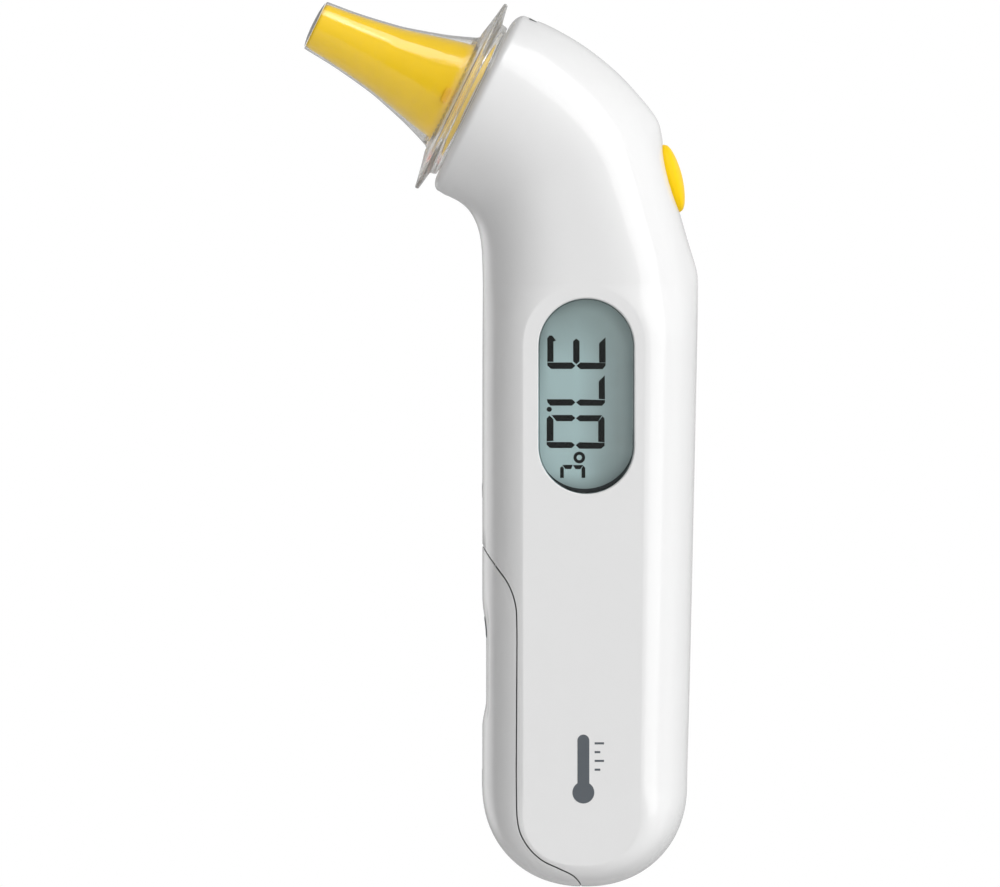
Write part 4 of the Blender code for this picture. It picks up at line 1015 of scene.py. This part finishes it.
def build_housing():
    front, rear = half_shell("front", -1), half_shell("rear", 1)
    # A grey bed in the slot on the crown, painted shade for the slot's shadow
    for label, y0, y1 in (("front", -2.9, -0.1), ("rear", 0.1, 2.9)):
        outline = rectangle(-0.66, -0.33, 0.66, 0.2)
        insert = prism(f"crown_slot_{label}", [outline], y0, y1, CROWN_SLOT)
        dress(bevel(insert, 0.04, 2), seam_painted_shade, "housing", "shell_white")
    dress(front, white, "housing", "shell_white", "front_housing", flat_pads=True)
    dress(rear, white, "housing", "shell_white", "rear_housing", flat_pads=True)


# ---------------------------------------------------------------- battery door and its seam
TONGUE = [  # x, z
    (-15.4, -2.0), (-13.45, -2.0), (-13.45, 6.4), (-13.85, 6.8), (-14.3, 6.4), (-14.3, 0.9),
    (-15.4, 0.9),
]
TONGUE_HALF = 3.5
LIP_NEAR, LIP_FAR = 11.0, 11.8  # the lips' faces, from the middle plane


def build_door():
    door = shell("door_shell", (-1, 1), 0.0)
    boolean(door, door_prism("door_keep", -SEAM_SHOWN / 2), "INTERSECT")
    for side in (-1, 1):
        y0, y1 = sorted((MID_Y + side * LIP_NEAR, MID_Y + side * LIP_FAR))
        boolean(door, prism("lip", [rectangle(-12.9, -33.0, -10.0, -11.0)], y0, y1), "UNION")
    tongue = prism("tongue", [TONGUE], MID_Y - TONGUE_HALF, MID_Y + TONGUE_HALF)
    boolean(door, tongue, "UNION")
    dress(door, door_white, "battery_door", "door_white", "battery_door", flat_pads=True)


def build_seam_flange():
    """The ledge under the seam that the door's edge slides over: a strip of inner skin, painted grey
    as shade in the gap.
    """
    depths, half_width, steps, middle_gap = (1.92, 2.55), 1.05, 30, 0.12
    rows = body_rows(4, [35.0 - 1.5 * i for i in range(44)], 96)
    rows = [row for row in rows if row.head is None]
    rows = rows[: len(rows) // 2 + 30]
    skin = ShellMesh(middle_gap)
    for side in (-1, 1):
        top, under = (
            [
                [skin.point(*point, side) for point in flank(row, steps, False)]
                for row in inset_rows(rows, depth)
            ]
            for depth in depths
        )
        for i in range(len(top) - 1):
            for j in range(steps):
                for grid in (top, under):
                    near, far = grid[i], grid[i + 1]
                    skin.faces.append((near[j], near[j + 1], far[j + 1], far[j]))
            for j in (0, steps):
                skin.faces.append((top[i][j], top[i + 1][j], under[i + 1][j], under[i][j]))
        for i in (0, len(top) - 1):
            skin.strip(top[i], under[i])
    flange = mesh_object("seam_flange", skin.points, skin.faces)
    outline = seam_points(half_width) + seam_points(-half_width)[::-1]
    boolean(flange, prism("seam_band", [outline], *THROUGH_Y), "INTERSECT")
    reach = TONGUE_HALF + 0.3
    clearance = rectangle(-30.0, -3.0, -5.0, 20.0)
    boolean(flange, prism("tongue_clearance", [clearance], MID_Y - reach, MID_Y + reach))
    dress(flange, seam_ledge_painted_shade, "housing", "shell_white")


# Short dark fillings of the seam at the middle plane, painted shade for the gap: name, x from, x to,
# lowest z
SEAM_WEBS = [("side", -16.3, -14.33, -10.0), ("foot", -4.6, -0.36, -49.66)]
WEB_HALF_WIDTH, WEB_HALF_DEPTH = 0.065, 1.5


def build_seam_webs():
    for label, low_x, high_x, low_z in SEAM_WEBS:
        upper, lower = (
            [
                (x, z) for x, z in seam_points(offset, per=96)
                if low_x < x < high_x and z > low_z
            ]
            for offset in (WEB_HALF_WIDTH, -WEB_HALF_WIDTH)
        )
        outline = upper + lower[::-1]
        y0, y1 = MID_Y - WEB_HALF_DEPTH, MID_Y + WEB_HALF_DEPTH
        web = prism(f"seam_web_{label}", [outline], y0, y1)
        dress(web, seam_painted_shade, "housing", "shell_white")


# ---------------------------------------------------------------- marks on the left side face
RIB_TOP, RIB_END, RIB_STEPS = -6.6, -10.0, 12
MARK_OUT_X, MARK_IN_X = -16.49, -16.2
# Outlines about each mark's middle: y, z
SLIDE_ARROW = [
    (-1.5, 0.9), (-0.6, 0.9), (-0.6, 1.9), (0.6, 1.9), (0.6, 0.9), (1.5, 0.9), (0.0, -1.2)
]
CLOSE_CHEVRON = [(-1.3, -0.9), (0.0, 1.1), (1.3, -0.9), (0.8, -1.2), (0.0, 0.1), (-0.8, -1.2)]


def grip_x(z):
    """Where the left side face lies at the middle plane, down in the grip hollow."""
    return handle_at(z)[0] + thumb_recess(-16.0, 0.0, z)


def build_grip_rib():
    levels = [RIB_TOP - 3.4 * i / RIB_STEPS for i in range(RIB_STEPS + 1)]
    outside = []
    for z in levels:
        rise = 0.07 * smoothstep((RIB_TOP - z) / 0.5) * smoothstep((z - RIB_END) / 0.5)
        outside.append((grip_x(z) - rise, z))
    inside = [(grip_x(z) + 0.2, z) for z in levels[::-1]]
    rib = prism("door_grip_rib", [outside + inside], MID_Y - 2.2, MID_Y + 2.2)
    # The rib's grey is painted shade, the dark line at the top of the grip hollow
    dress(rib, print_and_painted_shade_grey, "battery_door", "door_white")


def build_mark(name, middle_z, outline, mat, body, slot):
    points = [(x, MID_Y + y, middle_z + z) for x in (MARK_OUT_X, MARK_IN_X) for y, z in outline]
    near = list(range(len(outline)))
    far = [i + len(outline) for i in near]
    raised = mesh_object(name, points, [near, far[::-1]] + band(near, far))
    dress(bevel(raised, 0.06, 2), mat, body, slot)


# ---------------------------------------------------------------- start button
def build_button():
    crown = []
    for i in range(17):
        angle = math.pi / 2 * i / 16
        crown.append((5.45 * math.sin(angle), 1.5 - 1.5 * (1 - math.cos(angle)) ** 0.92))
    stem = [
        (5.53, -0.12), (5.58, -0.3), (BUTTON_R, -0.5), (BUTTON_R, -4.4), (7.0, -4.4),
        (7.0, -5.2), (1.5, -5.2), (1.5, -7.2), (0.0, -7.2),
    ]
    button = revolve("start_button_cap", crown + stem, BUTTON)
    dress(button, button_yellow, "start_button", "button_yellow", "start_button")


# ---------------------------------------------------------------- probe cone
# Profiles about the probe's axis: r, z outwards along it
CONE_TIP = [(2.35, 25.9), (3.4, 25.9), (3.6, 25.85), (3.75, 25.74), (3.85, 25.56), (3.88, 25.3)]
CONE_FLANK = [  # knots of a smooth curve
    (3.88, 25.3), (4.42, 20.5), (5.34, 14.6), (5.95, 11.7), (7.12, 6.8), (7.75, 4.1),
    (8.2, 1.6), (8.35, 0.3),
]
CONE_COLLAR = [
    (8.45, 0.12), (8.6, 0.1), (COLLAR_R - 0.1, 0.1), (COLLAR_R, 0.0), (COLLAR_R, -1.2),
    (9.55, -1.2), (9.55, -2.2), (8.75, -2.2), (8.75, -3.1), (9.55, -3.1), (9.55, -6.5),
]
CONE_BORE = [(7.5, -6.5), (6.6, 0.5), (6.2, 2.5), (5.0, 6.0), (3.7, 12.0), (2.5, 20.0)]


def build_cone():
    profile = CONE_TIP + curve_through(CONE_FLANK, 40)[1:] + CONE_COLLAR + CONE_BORE
    cone = revolve("probe_cone_outer", profile, PROBE, closed=True)
    dress(cone, cone_yellow, "housing", "cone_yellow", "probe_cone")
    # A small nub on the cone's front and back
    outline = [(z - 1.0, x + 2.2) for x, z in pill(0.5, 1.25, steps=12, x=0.0, z=0.0)]
    for label, side in (("front", -1), ("rear", 1)):
        y0, y1 = sorted((side * 7.6, side * 8.62))
        nub = prism(f"cone_nub_{label}", [outline], y0, y1, PROBE)
        dress(bevel(nub, 0.16, 3, angle=50.0), nub_yellow, "housing", "cone_yellow")


# ---------------------------------------------------------------- lens filter
FILTER_RIM = [(3.9, 25.92), (4.02, 25.98), (4.12, 25.94), (4.18, 25.84)]
FILTER_OUTSIDE = [  # knots, downwards
    (4.2, 25.7), (4.72, 20.5), (5.65, 14.6), (6.3, 11.7), (7.7, 6.8), (8.65, 4.1), (9.35, 2.3)
]
FILTER_FLANGE = [
    (9.55, 1.85), (9.85, 1.45), (10.4, 1.3), (13.0, 0.85), (16.2, 0.35), (16.36, 0.24),
    (16.4, 0.08), (16.36, -0.12), (16.2, -0.3), (13.3, -0.8), (13.16, -0.95), (13.12, -1.4),
    (13.0, -1.7), (12.8, -1.85), (12.6, -1.82), (12.45, -1.6), (12.4, -1.3), (12.4, 0.2),
    (12.3, 0.36), (12.1, 0.4), (9.7, 0.4), (9.45, 0.5), (9.3, 0.8),
]
FILTER_INSIDE = [  # knots, upwards
    (8.95, 2.1), (8.28, 4.0), (7.36, 6.8), (6.06, 11.7), (5.43, 14.6), (4.5, 20.5), (3.98, 25.5)
]
FILM = [
    (0.0, 26.5), (1.1, 26.48), (2.2, 26.41), (3.2, 26.27), (3.9, 26.1), (3.2, 26.16),
    (2.2, 26.3), (1.1, 26.37), (0.0, 26.39),
]


def shape_filter(lens):
    """Moulds a catch over each nub of the cone, and fine ribs round the root of the flange."""
    to_world = Matrix.Diagonal((MM, MM, MM, 1.0)) @ PROBE
    to_probe = to_world.inverted()
    work = bmesh.new()
    work.from_mesh(lens.data)
    for vertex in work.verts:
        p = to_probe @ vertex.co
        r, angle = math.hypot(p.x, p.y), math.atan2(p.y, p.x)
        normal = to_probe.to_3x3() @ vertex.normal
        if p.z > 2.4 and r < 9.4 and normal.x * p.x + normal.y * p.y > 0:
            for middle, shift in ((-math.pi / 2, 1.0), (math.pi / 2, -1.0)):
                across = (angle - middle) * r + shift
                rise = smoothstep((2.1 - abs(across)) / 0.3) * smoothstep((4.6 - p.z) / 0.3)
                p.x *= 1 + 0.012 * rise
                p.y *= 1 + 0.012 * rise
            vertex.co = to_world @ p
        elif 10.2 < r < 13.2 and p.z > 0.5:
            rib = max(0.0, math.cos(angle * 64))
            p.z += 0.16 * rib * smoothstep((13.2 - r) / 0.5)
            vertex.co = to_world @ p
    work.to_mesh(lens.data)
    work.free()


def build_filter():
    outside, inside = curve_through(FILTER_OUTSIDE, 96), curve_through(FILTER_INSIDE, 48)
    profile = FILTER_RIM + outside + FILTER_FLANGE + inside
    lens = revolve("lens_filter_shell", profile, PROBE, steps=288, closed=True)
    shape_filter(lens)
    dress(lens, filter_clear, "lens_filter", "clear_filter", "lens_filter", smooth=40.0)
    film = revolve("lens_film", FILM, PROBE, steps=96)
    dress(film, film_clear, "lens_filter", "clear_film", "lens_filter_film")


# ---------------------------------------------------------------- filter detector pin
def build_pin():
    tip = []
    for i in range(9):
        angle = math.pi / 2 * i / 8
        tip.append((PIN_R * math.sin(angle), -0.5 + 0.7 * math.cos(angle)))
    shank = [(PIN_R, -4.2), (1.35, -4.2), (1.35, -4.7), (0.6, -4.7), (0.6, -7.6), (0.0, -7.6)]
    pin = revolve("detector_pin", tip + shank, PIN, steps=48)
    dress(pin, orange, "filter_detector", "detector_orange", "filter_detector_pin")


# ---------------------------------------------------------------- display
DIGIT_FRONT, DIGIT_BACK = GLASS_FRONT - 0.06, GLASS_FRONT + 0.03
SEGMENT_MARGIN = 0.07  # growth of every segment's outline
DOT_X, DOT_Z, DOT_HALF_WIDE, DOT_HALF_TALL = -5.744, 26.496, 0.416, 0.4
DEGREE_X, DEGREE_Z, DEGREE_IN_R, DEGREE_OUT_R = -0.944, 18.8, 0.43, 0.93

# Outlines of the lit segments: x, z
SEGMENTS = [
    # three
    [(-5.984, 37.824), (-5.696, 38.208), (-5.312, 38.208), (-4.768, 37.504),
     (-5.136, 37.376), (-5.136, 34.144), (-5.984, 34.144)],
    [(-1.856, 37.344), (-1.424, 37.696), (-0.976, 37.344), (-0.976, 34.208),
     (-1.424, 33.776), (-1.856, 34.208)],
    [(2.288, 37.024), (3.2, 37.888), (3.2, 34.016), (2.288, 34.016)],
    [(-5.984, 33.904), (-2.176, 33.904), (-1.664, 33.456), (-2.176, 33.008),
     (-5.408, 33.008), (-5.984, 33.536)],
    [(-1.28, 33.456), (-0.736, 33.904), (3.184, 33.824), (3.184, 33.504),
     (2.752, 32.976), (-0.736, 32.976)],
    # seven
    [(2.24, 30.944), (3.088, 31.84), (3.088, 28.16), (2.24, 28.224)],
    [(-6.048, 28.032), (-2.144, 28.032), (-1.664, 27.6), (-2.144, 27.152),
     (-5.504, 27.152), (-5.936, 27.584)],
    [(-1.344, 27.6), (-0.8, 28.016), (3.088, 27.904), (3.088, 27.584),
     (2.656, 27.136), (-0.8, 27.136)],
    # nought
    [(-6.08, 25.024), (-5.696, 25.408), (-5.136, 24.864), (-5.136, 21.536), (-6.08, 21.44)],
    [(-5.28, 25.536), (-2.144, 25.536), (-1.664, 25.104), (-2.144, 24.672),
     (-4.544, 24.672)],
    [(-1.376, 25.072), (-0.832, 25.488), (2.592, 25.488), (2.016, 24.64), (-0.832, 24.64)],
    [(2.784, 25.28), (3.024, 24.992), (3.024, 21.296), (2.144, 21.376), (2.144, 24.544)],
    [(-6.08, 21.216), (-2.208, 21.184), (-1.728, 20.8), (-2.208, 20.384),
     (-5.568, 20.384), (-6.08, 20.864)],
    [(-1.408, 20.768), (-0.896, 21.168), (3.024, 21.088), (3.024, 20.704),
     (2.496, 20.272), (-0.896, 20.272)],
    # C
    [(-3.536, 17.568), (-2.096, 17.568), (-2.288, 17.04), (-3.136, 17.04)],
    [(-1.856, 17.536), (-0.416, 17.536), (-0.8, 17.024), (-1.504, 17.024)],
    [(-3.68, 17.344), (-3.488, 17.056), (-3.488, 15.616), (-3.936, 15.616),
     (-3.936, 17.12)],
    [(-0.288, 17.376), (-0.064, 17.12), (-0.064, 15.616), (-0.512, 15.616),
     (-0.512, 17.024)],
]


def grown(loop, margin):
    """An outline grown outwards by the same amount along each of its straight edges."""
    following = loop[1:] + loop[:1]
    area = sum(x0 * z1 - x1 * z0 for (x0, z0), (x1, z1) in zip(loop, following))
    sense = 1.0 if area > 0 else -1.0

    def normal(start, end):
        length = math.dist(start, end)
        return sense * (end[1] - start[1]) / length, -sense * (end[0] - start[0]) / length

    result = []
    for i, (x, z) in enumerate(loop):
        before, after = normal(loop[i - 1], loop[i]), normal(loop[i], following[i])
        share = max(1 + before[0] * after[0] + before[1] * after[1], 0.5)
        shift_x, shift_z = before[0] + after[0], before[1] + after[1]
        result.append((x + margin * shift_x / share, z + margin * shift_z / share))
    return result


def build_painted_step_shadow():
    """A painted shadow: a dark strip inside the window's lower edge, thinning up the right side,
    where the opening's wall is in shade.
    """
    thick, start_angle, end_angle, rise = 0.68, 203.0, 360.0, 4.6
    arc_part = 0.8  # share of the steps on the arc; the rest climb the straight side
    radius = WINDOW_R - GLASS_GAP
    centre_z = WINDOW_Z - WINDOW_HALF + WINDOW_R
    outer, inner = [], []
    for i in range(81):
        share = i / 80
        if share < arc_part:
            angle = math.radians(lerp(start_angle, end_angle, share / arc_part))
            c, s = math.cos(angle), math.sin(angle)
            x, z, in_x, in_z = WINDOW_X + radius * c, centre_z + radius * s, -c, -s
            width = thick * math.sin(math.pi * share / arc_part) ** 1.3
        else:
            x, z = WINDOW_X + radius, centre_z + rise * (share - arc_part) / 0.2
            in_x, in_z, width = -1.0, 0.0, 0.0
        line = 0.09 * smoothstep(share / 0.2) * smoothstep((1.0 - share) / 0.15)
        width = max(width, line) + 0.004
        outer.append((x, z))
        inner.append((x + in_x * width, z + in_z * width))
    step = prism("painted_step_shadow", [outer + inner[::-1]], -27.88, -27.74)
    dress(step, shadow_grey, "housing", "lcd_glass", smooth=0)


def build_digits():
    dot = []
    for i in range(24):
        angle = 2 * math.pi * i / 24
        dot.append(
            (DOT_X + DOT_HALF_WIDE * math.cos(angle), DOT_Z - DOT_HALF_TALL * math.sin(angle))
        )
    loops = [grown(loop, SEGMENT_MARGIN) for loop in SEGMENTS] + [dot]
    digits = prism("display_digits", loops, DIGIT_FRONT, DIGIT_BACK)
    dress(digits, segment, "housing", "lcd_glass", smooth=0)
    profile = [(DEGREE_IN_R, 0.12), (DEGREE_OUT_R, 0.12), (DEGREE_OUT_R, 0.0), (DEGREE_IN_R, 0.0)]
    place = along_y(DEGREE_X, DIGIT_FRONT, DEGREE_Z)
    degree = revolve("display_degree", profile, place, steps=48, closed=True)
    dress(degree, segment, "housing", "lcd_glass")


def build_display():
    outline = pill(WINDOW_R - PANE_GAP, WINDOW_HALF - PANE_GAP)
    pane = bevel(prism("display_pane", [outline], PANE_FRONT, PANE_BACK), 0.28, 5, angle=40.0)
    dress(pane, window_clear, "housing", "window_clear", "display_window", smooth=40.0)
    outline = pill(WINDOW_R - GLASS_GAP, WINDOW_HALF - GLASS_GAP)
    polariser = prism("display_polariser", [outline], GLASS_FRONT, GLASS_BACK)
    dress(bevel(polariser, 0.06, 2, angle=40.0), lcd, "housing", "lcd_glass", smooth=40.0)
    build_painted_step_shadow()
    build_digits()


# ---------------------------------------------------------------- thermometer sign on the pad
SIGN_X, SIGN_LOW, SIGN_HIGH = -0.3, -36.4, -25.4
BULB_R, TUBE_R = 1.75, 0.95
TICKS = [(-26.8, 1.5), (-28.2, 0.9), (-29.6, 1.5), (-31.0, 0.9)]  # z, length
TICK_X, TICK_HALF = 1.5, 0.17


def build_pad_sign():
    outline = []
    half = math.asin(TUBE_R / BULB_R)
    bulb_z, tube_z = SIGN_LOW + BULB_R, SIGN_HIGH - TUBE_R
    for i in range(41):
        angle = math.pi / 2 + half + (2 * math.pi - 2 * half) * i / 40
        outline.append((SIGN_X + BULB_R * math.cos(angle), bulb_z + BULB_R * math.sin(angle)))
    for i in range(21):
        angle = math.pi * i / 20
        outline.append((SIGN_X + TUBE_R * math.cos(angle), tube_z + TUBE_R * math.sin(angle)))
    ticks = [
        rectangle(TICK_X, z - TICK_HALF, TICK_X + length, z + TICK_HALF) for z, length in TICKS
    ]
    for name, loops in (("pad_sign", [outline]), ("pad_sign_ticks", ticks)):
        ink = prism(name, loops, FRONT_Y - 0.015, FRONT_Y + 0.03)
        dress(ink, print_and_painted_shade_grey, "housing", "black_plastic", smooth=0)


# ---------------------------------------------------------------- CAD pieces that stay
KEPT = [
    (lcd, "lcd_panel"),
    (black, "lcd_frame microcontroller amplifier_ic memory_ic buzzer tact_switch_plunger "
            "sensor_clamp_ring filter_detector_switch"),
    (rubber, "zebra_connector probe_seal_ring display_gasket"),
    (board, "main_board switch_board"),
    (steel, "crystal_can sensor_can filter_detector_spring battery_spring_lower "
            "battery_spring_upper battery_bridge_contact battery_contact_positive "
            "battery_contact_negative housing_screw_1 housing_screw_2 board_screw_1 "
            "board_screw_2 board_screw_3"),
    (grey, "tact_switch_body sensor_ir_window battery_tray"),
    (gold, "waveguide_tube"),
    (zinc, "sensor_heat_block"),
    (flex, "sensor_flex_cable"),
    (cell, "battery_cell_front battery_cell_rear"),
    (wire_red, "battery_wire_red"),
    (wire_black, "battery_wire_black"),
]


def paint_kept():
    for mat, names in KEPT:
        for name in names.split():
            # Some pieces may be missing from the frame
            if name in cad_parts:
                paint(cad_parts[name], mat, smooth=35.0)


def squash_spring():
    """Finds the seat of the spring under the filter detector and gives the spring a mesh of its own;
    the spring is not shortened.
    """
    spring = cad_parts["filter_detector_spring"]
    inward = Vector((-PROBE_AXIS[0], 0.0, -PROBE_AXIS[1]))
    seat = max((spring.matrix_world @ v.co for v in spring.data.vertices), key=inward.dot)
    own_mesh(spring)


# ---------------------------------------------------------------- floor
FLOOR_Z, FLOOR_R = -114.0, 4000.0  # below the battery door's lowest travel


def build_floor():
    place = Matrix.Translation((0.0, MID_Y, FLOOR_Z))
    floor = revolve("floor", [(0.0, 0.0), (FLOOR_R, 0.0)], place, steps=64)
    paper = Material("pale_floor")
    tone = paper.spread(paper.noise(0.01, detail=2.0))
    paper.set(Base_Color=paper.mix(tone, (0.80, 0.80, 0.80), (0.84, 0.84, 0.84)))
    paper.set(Roughness=0.85)
    # Seen from below the floor is not there
    backfacing = paper.node("ShaderNodeNewGeometry").outputs["Backfacing"]
    empty = paper.node("ShaderNodeBsdfTransparent")
    paper.surface(
        paper.mix_shader(backfacing, paper.principled.outputs[0], empty.outputs[0])
    )
    floor.data.materials.append(paper.data)
    # A flat disc has no outside, so its normals may come out pointing down
    if floor.data.polygons[0].normal.z < 0:
        floor.data.flip_normals()
    floor.visible_glossy = False  # the gloss shows the softboxes and not a bright floor
    floor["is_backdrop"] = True


# ---------------------------------------------------------------- light
FILL = 0.24
MIRRORED_SHARE = 0.35  # how much of the sky light reflections see
# Soft patches of sky: azimuth, elevation, half angle (degrees), strength
LOBES = [
    (80, 35, 110, 0.306), (210, 5, 22, 1.839), (180, 5, 60, 0.822), (40, 5, 85, 0.646),
    (135, 5, 60, 0.516),
]
SOFTBOX_AIM = Vector((0.0, MID_Y * MM, 0.03))  # metres
SOFTBOX_DISTANCE = 3.0  # metres
PLAIN_WHITE = (1.0, 1.0, 1.0)


def toward(azimuth, elevation):
    """Unit vector; azimuth 0 is the camera's side, 90 the object's right."""
    a, e = math.radians(azimuth), math.radians(elevation)
    return Vector((math.sin(a) * math.cos(e), -math.cos(a) * math.cos(e), math.sin(e)))


def build_world(scene):
    """Even fill with a wash and a rim, dimmer in reflections; the camera sees plain white."""
    world = bpy.data.worlds.new("studio")
    scene.world = world
    world.use_nodes = True
    sky = Nodes(world.node_tree)
    direction = sky.node("ShaderNodeTexCoord").outputs["Generated"]
    light = FILL
    for azimuth, elevation, half, strength in LOBES:
        patch = sky.spread(
            sky.dot(direction, toward(azimuth, elevation).normalized()),
            to=(0.0, strength),
            over=(math.cos(math.radians(half)), 1.0),
            interpolation_type="SMOOTHSTEP",
        )
        light = sky.math("ADD", light, patch)
    rays = sky.node("ShaderNodeLightPath").outputs
    not_diffuse = sky.math("SUBTRACT", 1.0, rays["Is Diffuse Ray"])
    mirrored = sky.math("MULTIPLY", rays["Glossy Depth"], not_diffuse, use_clamp=True)
    dim = sky.spread(mirrored, to=(1.0, MIRRORED_SHARE), over=(0.0, 1.0))
    background = world.node_tree.nodes["Background"]
    sky.put(PLAIN_WHITE, background.inputs["Color"])
    sky.put(sky.math("MULTIPLY", light, dim), background.inputs["Strength"])
    plain = sky.node("ShaderNodeBackground", Color=PLAIN_WHITE)
    # White also behind the clear parts, along rays that have not bounced
    bounces = sky.math("ADD", rays["Glossy Depth"], rays["Diffuse Depth"])
    unbounced = sky.math("SUBTRACT", 1.0, bounces, use_clamp=True)
    straight = sky.math("MULTIPLY", rays["Is Transmission Ray"], unbounced)
    seen = sky.math("ADD", rays["Is Camera Ray"], straight)
    shader = sky.mix_shader(seen, background.outputs[0], plain.outputs[0])
    sky.put(shader, world.node_tree.nodes["World Output"].inputs["Surface"])


def softbox(name, azimuth, elevation, wide, tall, strength):
    """A rectangular softbox; wide and tall are the angles it spans seen from the object."""
    data = bpy.data.lights.new(name, "AREA")
    data.shape = "RECTANGLE"
    data.size, data.size_y = (
        2 * SOFTBOX_DISTANCE * math.tan(math.radians(span / 2)) for span in (wide, tall)
    )
    data.energy = math.pi * data.size * data.size_y * strength
    lamp = bpy.data.objects.new(name, data)
    bpy.context.scene.collection.objects.link(lamp)
    lamp.location = SOFTBOX_AIM + toward(azimuth, elevation) * SOFTBOX_DISTANCE
    lamp.rotation_euler = (-toward(azimuth, elevation)).to_track_quat("-Z", "Y").to_euler()
    lamp.visible_camera = False
    return lamp


def build_softboxes():
    softbox("softbox_key", azimuth=50, elevation=34, wide=38, tall=74, strength=1.76)
    top = softbox("softbox_top", azimuth=22, elevation=72, wide=34, tall=26, strength=1.9)
    top.visible_diffuse = False  # a strip that only the gloss picks up


# ---------------------------------------------------------------- camera
CAMERA_X, CAMERA_Z = -13.6, 21.04
FRAME_WIDTH = 160.0  # across the picture at the middle plane


def build_camera(scene):
    """A very long lens, level with the object."""
    data = bpy.data.cameras.new("camera")
    data.sensor_width = 36.0
    data.lens = 1200.0
    data.clip_start, data.clip_end = 0.1, 100.0
    camera = bpy.data.objects.new("camera", data)
    scene.collection.objects.link(camera)
    distance = FRAME_WIDTH * data.lens / data.sensor_width
    camera.location = (CAMERA_X * MM, (MID_Y - distance) * MM, CAMERA_Z * MM)
    camera.rotation_euler = (math.radians(90.0), 0.0, 0.0)
    scene.camera = camera


def hold_crest():
    """Holds the crown's crest to the CAD's height."""
    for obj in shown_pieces():
        place = obj.matrix_world.copy()
        for vertex in obj.data.vertices if obj.type == "MESH" else ():
            point = place @ vertex.co
            if point.z > cad_high[2]:
                point.z = cad_high[2]
                vertex.co = place.inverted() @ point


# ---------------------------------------------------------------- build
build_housing()
build_door()
build_seam_flange()
build_seam_webs()
build_grip_rib()
build_mark("door_slide_mark", -32.9, SLIDE_ARROW, door_white, "battery_door", "door_white")
build_mark("door_close_mark", 13.6, CLOSE_CHEVRON, white, "housing", "shell_white")
build_button()
build_cone()
build_filter()
build_pin()
build_display()
build_pad_sign()
paint_kept()
squash_spring()
build_floor()
build_world(bpy.context.scene)
build_softboxes()
build_camera(bpy.context.scene)
bpy.context.scene.view_settings.view_transform = "Standard"
hold_crest()
